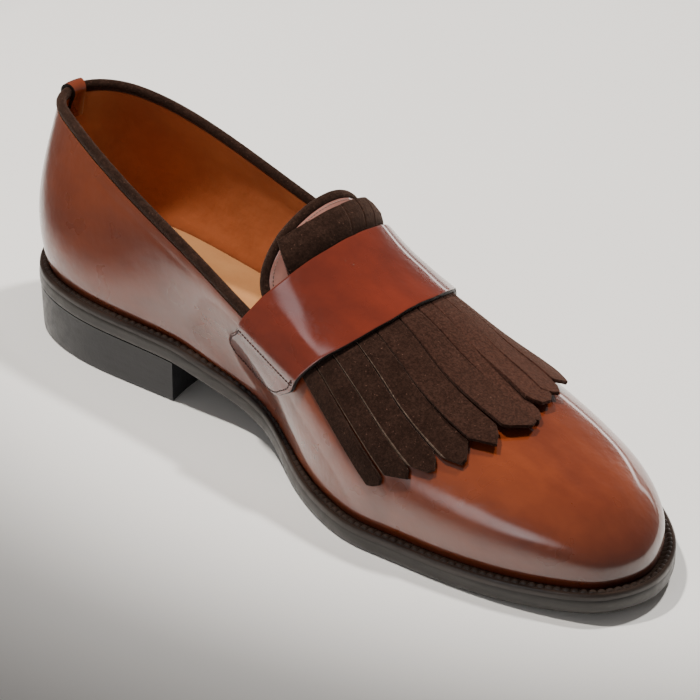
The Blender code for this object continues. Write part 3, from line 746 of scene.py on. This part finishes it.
def ramp(tree, value, stops):
    """Colour ramp; each stop is a place and a colour or a grey."""
    node = tree.nodes.new("ShaderNodeValToRGB")
    node.color_ramp.interpolation = "EASE"
    while len(node.color_ramp.elements) < len(stops):
        node.color_ramp.elements.new(0.5)
    for element, (place, colour) in zip(node.color_ramp.elements, stops):
        element.position = place
        element.color = (*colour, 1.0) if isinstance(colour, tuple) else (colour, colour, colour, 1.0)
    tree.links.new(value, node.inputs["Fac"])
    return node.outputs["Color"]


def bump(tree, shade, layers):
    """Chain of bump nodes; each layer is a height, a strength and a depth in metres."""
    last = None
    for height, strength, depth in layers:
        node = tree.nodes.new("ShaderNodeBump")
        node.inputs["Strength"].default_value = strength
        node.inputs["Distance"].default_value = depth
        tree.links.new(height, node.inputs["Height"])
        if last:
            tree.links.new(last, node.inputs["Normal"])
        last = node.outputs["Normal"]
    tree.links.new(last, shade.inputs["Normal"])


def mixed(tree, share, colour, other):
    """Colour moved toward another by a share; a mix node's colours are its sockets 6, 7 and 2."""
    node = tree.nodes.new("ShaderNodeMix")
    node.data_type = "RGBA"
    tree.links.new(share, node.inputs[0])
    tree.links.new(colour, node.inputs[6])
    node.inputs[7].default_value = (*other, 1.0)
    return node.outputs[2]


def toned(tree, colour, other):
    """Colour moved toward another by the tone that the mesh carries."""
    tone = tree.nodes.new("ShaderNodeAttribute")
    tone.attribute_name = "tone"
    return mixed(tree, tone.outputs["Fac"], colour, other)


def varied(tree, value, rough, low, high, spread):
    """Roughness that drifts by a share up and down with a noise."""
    return ramp(tree, value, [(low, rough * (1 - spread)), (high, rough * (1 + spread))])


def leather(name, dark, light, shade_and_dark, rough, coat, coat_rough, grain=0.05, coat_ior=1.5):
    """Polished calf: clouds of colour moved toward a darker one by the mesh's tone (painted shade along the
    upper's foot), pores, dents and swells, a clear wax coat.
    """
    material, tree, shade = shader(
        name, light, rough, Coat_Weight=coat, Coat_Roughness=coat_rough, Coat_IOR=coat_ior)
    clouds = ramp(tree, noise(tree, 30.0, 4.0, 0.6, stretch=(0.6, 1.2, 1.2)), [(0.28, dark), (0.72, light)])
    tree.links.new(toned(tree, clouds, shade_and_dark), shade.inputs["Base Color"])
    streaks = noise(tree, 60.0, 3.0)
    tree.links.new(varied(tree, streaks, rough, 0.15, 0.85, 0.3), shade.inputs["Roughness"])
    pores = noise(tree, 1200.0, 2.0)
    dents = noise(tree, 150.0, 2.0)
    swells = noise(tree, 50.0, 1.0)
    bump(tree, shade, [(pores, grain, 0.0004), (dents, 0.26, 0.0015), (swells, 0.12, 0.003)])
    return material


def suede(name, dark, light, painted_light):
    """Napped leather: short fibres in drifting patches, moved toward a lighter warm colour by the mesh's
    tone as painted light, dark and pale specks, with sheen.
    """
    material, tree, shade = shader(
        name, light, 0.95, Sheen_Weight=0.3, Sheen_Roughness=0.45,
        Sheen_Tint=(0.5, 0.32, 0.25, 1.0), Specular_IOR_Level=0.15)
    patches = ramp(tree, noise(tree, 160.0, 8.0, 0.86), [(0.34, dark), (0.66, light)])
    nap = ramp(tree, noise(tree, 1100.0, 3.0, 0.7), [(0.40, 0.55), (0.60, 0.0)])
    colour = mixed(tree, nap, toned(tree, patches, painted_light), tuple(0.35 * v for v in dark))
    specks = ramp(tree, noise(tree, 1300.0, 1.0), [(0.70, 0.0), (0.78, 0.5)])
    colour = mixed(tree, specks, colour, tuple(5 * v for v in light))
    tree.links.new(colour, shade.inputs["Base Color"])
    fibres = noise(tree, 2400.0, 4.0, 0.7)
    tufts = noise(tree, 500.0, 3.0)
    bump(tree, shade, [(fibres, 0.6, 0.0006), (tufts, 0.3, 0.0008)])
    return material


def edge_wax(name, dark, light, rough, coat=0.1):
    """Dressed cut edge of sole leather, or thread: fine layers along it, a satin wax."""
    material, tree, shade = shader(name, light, rough, Coat_Weight=coat, Coat_Roughness=0.3)
    layers = noise(tree, 120.0, 4.0, stretch=(0.3, 0.3, 6.0))
    tree.links.new(ramp(tree, layers, [(0.3, dark), (0.7, light)]), shade.inputs["Base Color"])
    tree.links.new(varied(tree, noise(tree, 300.0), rough, 0.3, 0.7, 0.2), shade.inputs["Roughness"])
    bump(tree, shade, [(noise(tree, 900.0, 3.0), 0.15, 0.0005)])
    return material


UPPER = leather(
    "upper_calf", dark=(0.128, 0.0205, 0.0052), light=(0.216, 0.0415, 0.0105), shade_and_dark=(0.046, 0.007, 0.002),
    rough=0.32, coat=0.8, coat_rough=0.06, coat_ior=1.8)
STRAP_SKIN = leather(
    "strap_calf", dark=(0.094, 0.0105, 0.0032), light=(0.161, 0.0185, 0.0052), shade_and_dark=(0.05, 0.009, 0.004),
    rough=0.30, coat=0.8, coat_rough=0.06, coat_ior=1.8)
# lighter and pinker than the tongue's own burgundy calf: a painted reflection
TONGUE_SKIN_AND_REFLECTION = leather(
    "tongue_calf_and_reflection", dark=(0.25, 0.10, 0.075), light=(0.40, 0.18, 0.14), shade_and_dark=(0.05, 0.01, 0.01),
    rough=0.25, coat=0.9, coat_rough=0.08, grain=0.12, coat_ior=1.9)
LINING = leather(
    "lining_calf", dark=(0.34, 0.095, 0.034), light=(0.46, 0.145, 0.055), shade_and_dark=(0.1, 0.03, 0.01),
    rough=0.50, coat=0.1, coat_rough=0.3, grain=0.12)
SOCK = leather(
    "insole_calf", dark=(0.40, 0.18, 0.07), light=(0.50, 0.25, 0.10), shade_and_dark=(0.2, 0.1, 0.04),
    rough=0.55, coat=0.05, coat_rough=0.4, grain=0.15)
# the third colour is the lighter warm tone of the fringe's painted light
NAP = suede("dark_suede_nap", (0.017, 0.0082, 0.0055), (0.036, 0.018, 0.0125), (0.070, 0.028, 0.019))
# pale cut edge of the slits: a lighter raw edge with a painted highlight
NAP_EDGE_HIGHLIGHT = suede("suede_cut_edge_highlight", (0.07, 0.045, 0.032), (0.17, 0.12, 0.09), (0.1, 0.06, 0.04))
STRAP_EDGE = edge_wax("strap_edge", (0.006, 0.003, 0.002), (0.016, 0.008, 0.006), 0.6, coat=0.0)
WELT_SKIN = edge_wax("welt_wax", (0.015, 0.009, 0.0065), (0.036, 0.023, 0.017), 0.42)
SOLE_SKIN = edge_wax("sole_edge_wax", (0.017, 0.0135, 0.0110), (0.034, 0.0285, 0.0235), 0.40)
HEEL_SKIN = edge_wax("heel_wax", (0.006, 0.006, 0.0075), (0.011, 0.0105, 0.013), 0.36)
THREAD = edge_wax("thread", (0.02, 0.006, 0.005), (0.05, 0.014, 0.01), 0.6)
PALE_THREAD = edge_wax("pale_thread", (0.16, 0.10, 0.08), (0.30, 0.20, 0.16), 0.6)


# upper, collar and heel tab


def station_line(runs):
    """Stations of one side; each run is an end, a number of steps and an ease."""
    line = [0.0]
    for end, steps, ease in runs:
        start = line[-1]
        line += [blend(end, start, (1 - (k + 1) / steps) ** ease) for k in range(steps)]
    return np.array(line)


SIDE = station_line([(COLLAR_END_S, 84, 1.0), (THROAT_S, 22, 1.0 / THROAT_POWER), (float(TOE), 110, 1.0)])
RING = np.concatenate([-SIDE[:0:-1], SIDE[:-1]])
AROUND = np.concatenate([SIDE, -SIDE[-2:0:-1]])


def crease(s, t):
    """Troughs, waves and flares of the upper, in millimetres."""
    a = np.abs(s)
    c = 2 - t
    medial = s < 0
    line = COLLAR_TROUGH_C + COLLAR_TROUGH_SLOPE * (a - COLLAR_TROUGH_MIDDLE_S)
    ends = between(a, *COLLAR_TROUGH_START_S) * between(a, *COLLAR_TROUGH_END_S)
    collar = hump(c, line, COLLAR_TROUGH_HALF_C) * ends
    wave = np.sin(2.1 * a + 5.0 * c) * hump(a, *VAMP_WAVE_S) * hump(c, *VAMP_WAVE_C)
    flex = sum(share * hump(a - slant * c, at, half) for share, slant, at, half in FLEX_CREASES)
    toe = 0.0
    for share, at_c, bend_s, at_s, half_s in TOE_TROUGHS:
        bent = c - TOE_TROUGH_BEND * np.maximum(0.0, a - bend_s)
        toe = toe + share * hump(bent, at_c, TOE_TROUGH_HALF_C) * hump(a, at_s, half_s)
    foot = FOOT_FLARE * hump(t, 0.0, FOOT_FLARE_T)
    lean = np.maximum(0.0, 1 - t / WAIST_FLARE_T) ** WAIST_FLARE_POWER
    waist = WAIST_FLARE * lean * hump(a, *WAIST_S) * medial
    troughs = COLLAR_TROUGH * collar + FLEX_CREASE * flex * hump(c, *FLEX_CREASE_C)
    troughs = troughs + TOE_TROUGH * toe * medial
    return foot + waist + VAMP_WAVE * wave - troughs


def shade_and_darkening(s, t):
    """Painted shade along the foot of the upper next to the welt, and a darker colour low on the toe tip
    and round the heel.
    """
    a = np.abs(s)
    foot = FOOT_PAINTED_SHADE * hump(t, 0.0, FOOT_PAINTED_SHADE_T)
    toe = TOE_DARKENING * between(a, *TOE_DARKENING_S) * between(t, *TOE_DARKENING_T)
    heel = HEEL_DARKENING * between(a, *HEEL_DARKENING_S)
    return np.clip(foot + toe + heel, 0, 1)


def make_upper():
    """Hollow shell with creased leather outside and lining inside."""
    s = RING
    n = len(s)
    cut = cut_height(s)
    out_rows, in_rows = 46, 26
    t = cut[None] * np.linspace(0, 1, out_rows)[:, None]
    outer = skin(s[None], t, crease(s[None], t))
    x, y, nx, ny = sole_edge(s, foot_inset(s))
    outer[0] = np.stack([x, y, sole_z(x) + OUTSOLE + GAP], axis=-1)
    inner = skin(s[None], cut[None] * np.linspace(0, 1, in_rows)[:, None], -WALL)
    x, y = x - nx * WALL, y - ny * WALL
    inner[0] = np.stack([x, y, sole_z(x) + OUTSOLE + GAP], axis=-1)
    points = np.concatenate([outer.reshape(-1, 3), inner.reshape(-1, 3)])
    base = out_rows * n
    open_top = np.minimum(np.abs(s), np.abs(np.roll(s, -1))) < THROAT_S - TINY
    rim = ring_faces(base - n, base + (in_rows - 1) * n, n)[open_top]
    shell = grid_faces(out_rows, n, wrap=True)
    inside = grid_faces(in_rows, n, base, wrap=True, flip=True)
    faces = np.concatenate([shell, inside, ring_faces(0, base, n), rim])
    flags = np.ones(len(faces), int)
    flags[:len(shell)] = 0
    # tone of the outer skin: painted shade along the foot, a darker toe tip and heel; the lining gets none
    tone = np.concatenate([shade_and_darkening(s[None], t).ravel(), np.zeros(inner.size // 3)])
    piece("upper_shell", "upper", points, faces, [UPPER, LINING], flags, 0.9, tone=tone)


def bead(name, node, centres, outs, ups, half_out, half_up, sides=14):
    """Oval suede cord along a line of centres with its outward and upward directions."""
    a = 2 * pi * np.arange(sides) / sides
    rings = centres[:, None] + outs[:, None] * (half_out * np.cos(a))[None, :, None]
    rings = rings + ups[:, None] * (half_up * np.sin(a))[None, :, None]
    faces = tube_faces(len(centres), sides)
    piece(name, node, rings.reshape(-1, 3), faces, [NAP], sharp=1.2)


def collar_frame(s):
    """Middle of the collar bead, with its outward and upward directions."""
    t = cut_height(s)
    out = normal(s, t)
    up = unit(skin(s, t, 0.0) - skin(s, t - SAMPLE, 0.0))
    return skin(s, t, -WALL / 2) + up * (BEAD_UP + GAP / 2), out, up


def make_collar():
    """Suede bead round the topline."""
    centre, out, up = collar_frame(np.linspace(-COLLAR_END_S, COLLAR_END_S, 260))
    bead("collar_bead", "collar_binding", centre, out, up, BEAD_OUT, BEAD_UP + GAP / 2)


def make_heel_tab():
    """Leather tab folded over the collar bead."""
    s = np.linspace(-TAB_HALF_S, TAB_HALF_S, 15)
    centre, out, up = collar_frame(s)
    cut, length = cut_height(s), rib_length(s)

    def leg(start, end, steps, off):
        return [skin(s, cut - d / length, off) for d in np.linspace(start, end, steps)]

    def profile(extra):
        off = TAB_GAP + extra
        rows = leg(TAB_LEG, TAB_SHOULDER, 10, off)
        for a in np.linspace(0, pi, 19):
            rows.append(centre + out * (BEAD_OUT + off) * cos(a) + up * (BEAD_UP + off) * sin(a))
        return np.stack(rows + leg(TAB_SHOULDER, TAB_INNER_LEG, 8, -WALL - off))

    points, faces, flags = solid(profile(0.0), profile(TAB))
    piece("heel_tab_fold", "heel_tab", points, faces, [UPPER, STRAP_EDGE], flags)


# strap and tongue


def edge_drop(grid, radius, chunk=400):
    """How far a top face falls at its rim to look cut and rounded."""
    rim = np.concatenate([grid[0], grid[-1], grid[:, 0], grid[:, -1]])
    flat = grid.reshape(-1, 3)
    near = np.zeros(len(flat))
    for k in range(0, len(flat), chunk):
        gap = flat[k:k + chunk, None] - rim[None]
        near[k:k + chunk] = np.sqrt((gap ** 2).sum(-1)).min(1)
    d = np.clip(near / radius, 0, 1).reshape(grid.shape[:2])
    return radius * (1 - np.sqrt(1 - (1 - d) ** 2))


def rim_steps(count, crowd=0.012):
    """Steps from 0 to 1 with close ones at both ends."""
    first = crowd * np.array([0.0, 0.5, 1.0, 2.0])
    return np.concatenate([first, np.linspace(0.05, 0.95, count), 1 - first[::-1]])


def strap_wave(s, c):
    """Slack of the strap where it bows off the side, in millimetres."""
    bow = sum(rise * hump(c, at_c, half_c) * hump(s, at_s, half_s)
              for rise, at_c, half_c, at_s, half_s in STRAP_BOWS)
    ripple = np.sin(9.0 * s + 6.0 * c) * np.sin(7.0 * c + 1.0) * between(np.abs(c), *STRAP_RIPPLE_C)
    return bow + STRAP_RIPPLE * ripple


def make_strap():
    """Broad band over the instep with dark waxed edges."""
    end = STRAP_EDGES[-1][0]
    c = np.linspace(-end, end, 191)[:, None]
    v = rim_steps(33)[None]
    s = blend(strap_rear(c), strap_front(c), v)
    low = strap_off(c) + strap_wave(s, c)
    flat = over(s, c, strap_off(c) + STRAP)
    high = low + STRAP - edge_drop(flat, STRAP_ROUND)
    rim = np.zeros((c.shape[0] - 1, v.shape[1] - 1), int)
    rim[:, :1] = rim[:, -1:] = rim[:1] = rim[-1:] = 1
    points, faces, flags = solid(over(s, c, low), over(s, c, high), rim)
    piece("instep_strap", "saddle_strap", points, faces, [STRAP_SKIN, STRAP_EDGE], flags)


def strap_stitches():
    """Closed rounded row of stitches on each end of the strap."""
    parts = []
    for side in (-1, 1):
        c = np.linspace(*STRAP_SEAM_C, 60)
        rear, front = strap_rear(c) + STRAP_SEAM_INSET_S, strap_front(c) - STRAP_SEAM_INSET_S
        s = np.concatenate([rear, front[::-1], np.linspace(front[0], rear[0], 30)])
        around = np.concatenate([c, c[::-1]]) - STRAP_SEAM_INSET_C
        across = np.linspace(c[0] + STRAP_CROSS_SEAM_C, c[0], 30)
        row = side * np.concatenate([around, across])
        base = over(s, row, strap_off(row) + STRAP)
        parts.append(stitch_line(base, outward(s, row), pitch=1.5, fill=0.62, radius=0.28, lift=0.02))
    points, faces, _ = joined(parts)
    piece("strap_stitches", None, points, faces, [THREAD], weld=False)


def make_tongue():
    """Thin leaf with a faint ripple near its sides."""
    d = np.concatenate([np.linspace(0, 0.5, 26), np.linspace(0.55, TONGUE_LENGTH_S, 24)])
    s = (TONGUE_END_S + d)[:, None]
    c = tongue_half(s) * np.linspace(-1, 1, 61)[None]
    top = tongue_top(s)
    ripple = TONGUE_RIPPLE * np.sin(40 * s + 9 * c) * hump(np.abs(c), *TONGUE_RIPPLE_C)
    points, faces, _ = solid(over(s, c, top - TONGUE), over(s, c, top + ripple))
    piece("tongue_leaf", "tongue", points, faces, [TONGUE_SKIN_AND_REFLECTION])


def tongue_path(inset):
    """Line along the free end of the tongue, inset from its edge in signed height."""
    s = TONGUE_END_S + np.linspace(TONGUE_BEAD_S, 0.0, 40)
    half = tongue_half(s) - inset
    end = np.linspace(-half[-1], half[-1], 60)[1:-1]
    path_s = np.concatenate([s, np.full(len(end), TONGUE_END_S), s[::-1]])
    path_c = np.concatenate([-half, end, half[::-1]])
    return path_s, path_c


def make_tongue_bead():
    """Suede bead along the free end of the tongue, with a row of pale stitches inside it."""
    s, c = tongue_path(0.0)
    spots = over(s, c, tongue_top(s) - TONGUE / 2)
    along = unit(np.gradient(spots, axis=0))
    up = outward(s, c)
    out = unit(np.cross(up, along))
    half_out = BEAD_OUT + GAP / 2
    bead("tongue_bead", "tongue_binding", spots + out * half_out, out, up, half_out, TONGUE_BEAD)
    s, c = tongue_path(TONGUE_SEAM_C)
    s = s + TONGUE_SEAM_S
    seam = over(s, c, tongue_top(s))
    points, faces, _ = stitch_line(seam, outward(s, c), pitch=1.4, fill=0.55, radius=0.22)
    piece("tongue_stitches", None, points, faces, [PALE_THREAD], weld=False)


# kiltie


def kiltie_fold():
    """Suede folded up behind the strap and lying flat under it."""
    back_rows, under_rows, rise_rows = np.array(FOLD).T
    bent = 1 - 0.1 * (1 - np.linspace(0, 1, 14)[1:]) ** 2
    q = np.concatenate([np.linspace(0, 0.9, 24), bent])[:, None]
    back = q * back_rows[-1]
    row = np.linspace(STRIPS[0][0], STRIPS[-1][1], 221)[None]
    c = blend(FOLD_BASE, FOLD_SHRINK * (1 - FOLD_CORNER), q) * row
    s = strap_rear(c) - back
    top = KILTIE_TOP + np.interp(back, back_rows, rise_rows)
    slits = sum(hump(c, at, FOLD_SLIT_C) for at in FOLD_SLITS) * between(q, 0.0, 0.2)
    flat = over(s, c, top)
    roll = over(s, c, top - FOLD_SLIT * slits - edge_drop(flat, FOLD_ROUND))
    low = over(s, c, KILTIE_LOW + np.interp(back, back_rows, under_rows))
    u = np.linspace(0, 1, 14)[:, None]
    c = blend(FOLD_BASE, 1.0, smooth(u)) * row
    s = blend(strap_rear(c), strap_front(row) - STRIP_START_S + STRIP_OVERLAP_S, u)
    flat_low, flat_high = over(s, c, KILTIE_LOW), over(s, c, KILTIE_TOP)
    return solid(np.concatenate([low[::-1], flat_low[1:]]), np.concatenate([roll[::-1], flat_high[1:]]))


def kiltie_strip(k):
    """Strip k of the fringe, and the tone of its points: painted light, warmer and lighter toward the far
    side and the tips, with painted shade at the roots under the strap.
    """
    strap_left, strap_right, tip_left, tip_right, lift, tilt, pale = STRIPS[k]
    u = np.concatenate([np.linspace(0, 0.94, 40), [0.965, 0.985, 0.995, 1.0]])[:, None]
    v = rim_steps(13, 0.03)[None]
    start = blend(strap_left, strap_right, v)
    s = blend(strap_front(start) - STRIP_START_S, np.interp(v, TIP_ACROSS, TIPS[k]), u)
    c = blend(start, blend(tip_left, tip_right, v), u ** STRIP_CURVE)
    free = between(u, STRIP_FLAT, 1.0)
    ripple = STRIP_RIPPLE * np.sin(6 * u + 2 * k) * free * (1 - free)
    low = KILTIE_LOW + (lift - tilt * (2 * v - 1)) * free + ripple
    flat = over(s, c, low + KILTIE)
    high = over(s, c, low + KILTIE - edge_drop(flat, STRIP_ROUND))
    rim = np.zeros((u.shape[0] - 1, v.shape[1] - 1), int)
    # pale cut edges: painted highlight along the slits
    rim[:, :2] = pale
    # painted light toward the far strips, painted shade at the roots
    painted_light = blend(*STRIP_PAINTED_LIGHT, between(k, *STRIP_PAINTED_LIGHT_FROM)) * (1 - STRIP_ROOT_SHADE * (1 - u) ** 2)
    tone = np.broadcast_to(painted_light, s.shape).ravel()
    return solid(over(s, c, low), high, rim, 0), np.concatenate([tone, tone])


def make_kiltie():
    """Folded suede behind and under the strap, with a fringe of separate strips in front."""
    parts = [kiltie_fold()]
    tones = [np.zeros(len(parts[0][0]))]
    for k in range(len(STRIPS)):
        strip, tone = kiltie_strip(k)
        parts.append(strip)
        tones.append(tone)
    points, faces, flags = joined(parts)
    piece("kiltie_fringe", "kiltie", points, faces, [NAP, NAP_EDGE_HIGHLIGHT], flags, weld=False,
          tone=np.concatenate(tones))


# sole, insole, welt and heel


def edge_ring(s, inset, lift):
    """Ring at the outline moved in by inset, lift above the underside of the outsole."""
    x, y = sole_edge(s, inset)[:2]
    return np.stack([x, y, sole_z(x) + lift], axis=-1)


def slab(inset, profile, columns_across=16):
    """Solid under the foot: outline rings at (extra inset, height) rows, filled above and below."""
    rings = np.array([edge_ring(AROUND, inset + extra, lift) for extra, lift in profile])
    n, half = len(AROUND), len(SIDE)
    walls = grid_faces(len(rings), n, wrap=True)
    parts = [(rings.reshape(-1, 3), walls, np.zeros(len(walls), int))]
    u = np.linspace(0, 1, columns_across + 1)
    for ring, (_, lift) in ((rings[0], profile[0]), (rings[-1], profile[-1])):
        one, two = ring[:half], np.concatenate([ring[:1], ring[:half - 2:-1]])
        fill = one[:, None] + (two - one)[:, None] * u[None, :, None]
        fill[..., 2] = sole_z(fill[..., 0]) + lift
        faces = grid_faces(half, len(u))
        parts.append((fill.reshape(-1, 3), faces, np.ones(len(faces), int)))
    return joined(parts)


def make_soles():
    """Outsole with a bevelled edge, and the insole inside the upper."""
    points, faces, flags = slab(0.0, SOLE_WALL)
    piece("outsole_block", "outsole", points, faces, [SOLE_SKIN, SOLE_SKIN], flags, sharp=0.8)
    points, faces, flags = slab(foot_inset(AROUND) + WALL + GAP / 2, SOCK_WALL)
    piece("insole_sock", "insole", points, faces, [SOCK, SOCK], flags, sharp=0.9)


def make_welt():
    """Strip round the upper with a wheeled row of small ridges."""
    s = np.interp(np.linspace(0, len(RING), 2401)[:-1], np.arange(len(RING) + 1), np.append(RING, TOE))
    x, y = sole_edge(s, RIDGE_ROW_INSET)[:2]
    run = np.concatenate([[0], np.cumsum(np.hypot(np.diff(x), np.diff(y)))])
    ridges = np.abs(np.sin(pi * run / RIDGE_PITCH)) ** RIDGE_ROUND
    seat = OUTSOLE + GAP / 2
    rings = [edge_ring(s, inset, seat + lift + ridge * ridges) for inset, ridge, lift in WELT_ROWS]
    inner = foot_inset(s) + WELT_INNER_GAP
    rings += [edge_ring(s, inner, seat + lift) for lift in WELT_INNER_LIFTS]
    n = len(s)
    closing = ring_faces((len(rings) - 1) * n, 0, n)
    faces = np.concatenate([grid_faces(len(rings), n, wrap=True), closing])
    piece("welt_strip", "welt", np.concatenate(rings), faces, [WELT_SKIN], sharp=1.0)


def breast_x(y):
    """Hollow front face of the heel, in plan."""
    return BREAST_X - BREAST_HOLLOW * (1 - np.minimum(1.0, (y / BREAST_HALF) ** 2))


def heel_plan(inset):
    """Plan of the heel block: the outline moved in by inset, closed by the front face."""
    corners = []
    for side in (-1, 1):
        s = np.array([BREAST_S])
        for _ in range(30):
            x, y = sole_edge(side * s, inset)[:2]
            s = s + (breast_x(y) - x) / STATION_LENGTH
        corners.append(float(s[0]))
    s = np.concatenate([np.linspace(-corners[0], 0, 70), np.linspace(0, corners[1], 70)[1:]])
    x, y = sole_edge(s, inset)[:2]
    front_y = np.linspace(y[-1], y[0], 40)[1:-1]
    return np.concatenate([x, breast_x(front_y)]), np.concatenate([y, front_y])


def make_heel():
    """Heel block with softened edges and a hollow front face."""
    rings = []
    for inset, height in HEEL_FOOT:
        x, y = heel_plan(inset)
        rings.append(np.stack([x, y, np.full_like(x, height)], axis=-1))
    foot = HEEL_FOOT[-1][1]
    for u in np.linspace(0.15, 1.0, 8):
        x, y = heel_plan(blend(HEEL_INSET_FLOOR, HEEL_INSET_TOP, u))
        rings.append(np.stack([x, y, blend(foot, sole_z(x) - GAP / 2, u)], axis=-1))
    faces = tube_faces(len(rings), len(rings[0]))
    piece("heel_block", "heel", np.concatenate(rings), faces, [HEEL_SKIN], sharp=0.6)


make_upper()
make_collar()
make_heel_tab()
make_strap()
strap_stitches()
make_tongue()
make_tongue_bead()
make_kiltie()
make_soles()
make_welt()
make_heel()


# camera, floor and light


def look_axes(az, el, roll):
    """Right, up and back of a thing that looks at the shoe; azimuth runs from the toe laterally."""
    a, e, r = radians(az), radians(el), radians(roll)
    back = np.array([cos(a) * cos(e), sin(a) * cos(e), sin(e)])
    right = np.array([-sin(a), cos(a), 0.0])
    up = np.cross(back, right)
    return cos(r) * right + sin(r) * up, -sin(r) * right + cos(r) * up, back


def placed(item, axes, place):
    """Put a camera or light in the scene with its axes and place, in metres."""
    matrix = Matrix.Identity(4)
    for i, axis in enumerate(axes):
        for k in range(3):
            matrix[k][i] = axis[k]
    matrix.translation = place
    item.matrix_world = matrix
    bpy.context.scene.collection.objects.link(item)


def camera():
    """Camera fitted to the photograph's outlines."""
    data = bpy.data.cameras.new("photo_camera")
    data.sensor_width = SENSOR
    data.lens = SENSOR * CAMERA_FOCAL / PHOTO_WIDTH
    data.clip_start, data.clip_end = CAMERA_CLIP
    item = bpy.data.objects.new("photo_camera", data)
    right, up, back = look_axes(CAMERA_AZIMUTH, CAMERA_ELEVATION, CAMERA_ROLL)
    place = CAMERA_AIM - SHIFT + CAMERA_DISTANCE * back + CAMERA_RIGHT * right + CAMERA_UP * up
    placed(item, (right, up, back), place * MM)
    bpy.context.scene.camera = item


def floor(half=4.0):
    """Pale plain floor, faintly cloudy."""
    material, tree, shade = shader("pale_floor", (0.88, 0.85, 0.81), 0.6)
    clouds = ramp(tree, noise(tree, 3.0), [(0.3, (0.865, 0.835, 0.795)), (0.7, (0.895, 0.865, 0.825))])
    tree.links.new(clouds, shade.inputs["Base Color"])
    mesh = bpy.data.meshes.new("floor")
    corners = [(-half, -half, 0), (half, -half, 0), (half, half, 0), (-half, half, 0)]
    mesh.from_pydata(corners, [], [(0, 1, 2, 3)])
    mesh.materials.append(material)
    item = bpy.data.objects.new("floor", mesh)
    bpy.context.scene.collection.objects.link(item)


def aimed(item, az, el, distance, target, roll=0.0):
    """Place a light on its direction from the target, facing it."""
    axes = look_axes(az, el, roll)
    placed(item, axes, axes[2] * distance + np.array(target))


def softbox(name, az, el, distance, size, power, colour, beam, roll=0.0):
    """Wide light that shows in the polish, brightest in its middle."""
    data = bpy.data.lights.new(name, "AREA")
    data.shape = "RECTANGLE"
    data.size, data.size_y = size
    data.energy = power
    data.color = colour
    data.spread = radians(beam)
    data.use_nodes = True
    tree = data.node_tree
    place = tree.nodes.new("ShaderNodeNewGeometry")
    centred = tree.nodes.new("ShaderNodeMapping")
    centred.inputs["Location"].default_value = (-1, -1, 0)
    centred.inputs["Scale"].default_value = (2, 2, 0)
    fade = tree.nodes.new("ShaderNodeTexGradient")
    fade.gradient_type = "SPHERICAL"
    tree.links.new(place.outputs["Parametric"], centred.inputs["Vector"])
    tree.links.new(centred.outputs["Vector"], fade.inputs["Vector"])
    glow = ramp(tree, fade.outputs["Fac"], [(0.0, 0.0), (0.7, 1.0)])
    tree.links.new(glow, tree.nodes["Emission"].inputs["Strength"])
    aimed(bpy.data.objects.new(name, data), az, el, distance, (0.0, 0.0, 0.04), roll)


def pool(name, az, el, target, power, radius, colour, distance=1.4, cone=31, edge=0.06):
    """Round pool of light on the floor and the shoe, which leaves no highlight."""
    data = bpy.data.lights.new(name, "SPOT")
    data.energy = power
    data.color = colour
    data.spot_size = radians(cone)
    data.spot_blend = edge
    data.shadow_soft_size = radius
    item = bpy.data.objects.new(name, data)
    item.visible_glossy = False
    aimed(item, az, el, distance, target)


def lights():
    """Two pools from above, three windows that show in the polish, and a dim even sky."""
    pool("key", az=-122, el=66, target=(-0.05, 0.268, 0.0), power=84, radius=0.05, colour=(1.0, 0.97, 0.93))
    pool("fill", az=60, el=76, target=(-0.04, 0.262, 0.0), power=74, radius=0.06, colour=(1.0, 0.99, 0.97))
    daylight = (0.95, 0.96, 1.0)
    warm_white = (1.0, 0.98, 0.95)
    softbox("window", az=-83, el=21, distance=1.3, size=(1.9, 0.65), power=1.25, colour=daylight,
            beam=70, roll=42)
    softbox("strap_window", az=-117, el=48, distance=1.3, size=(0.4, 0.4), power=0.12, colour=daylight,
            beam=70)
    softbox("far_window", az=104, el=4, distance=1.5, size=(1.5, 0.18), power=0.4, colour=warm_white,
            beam=60)
    world = bpy.context.scene.world or bpy.data.worlds.new("studio")
    bpy.context.scene.world = world
    world.use_nodes = True
    sky = world.node_tree.nodes["Background"]
    sky.inputs["Color"].default_value = (1.0, 0.97, 0.94, 1.0)
    sky.inputs["Strength"].default_value = 0.17


camera()
floor()
lights()
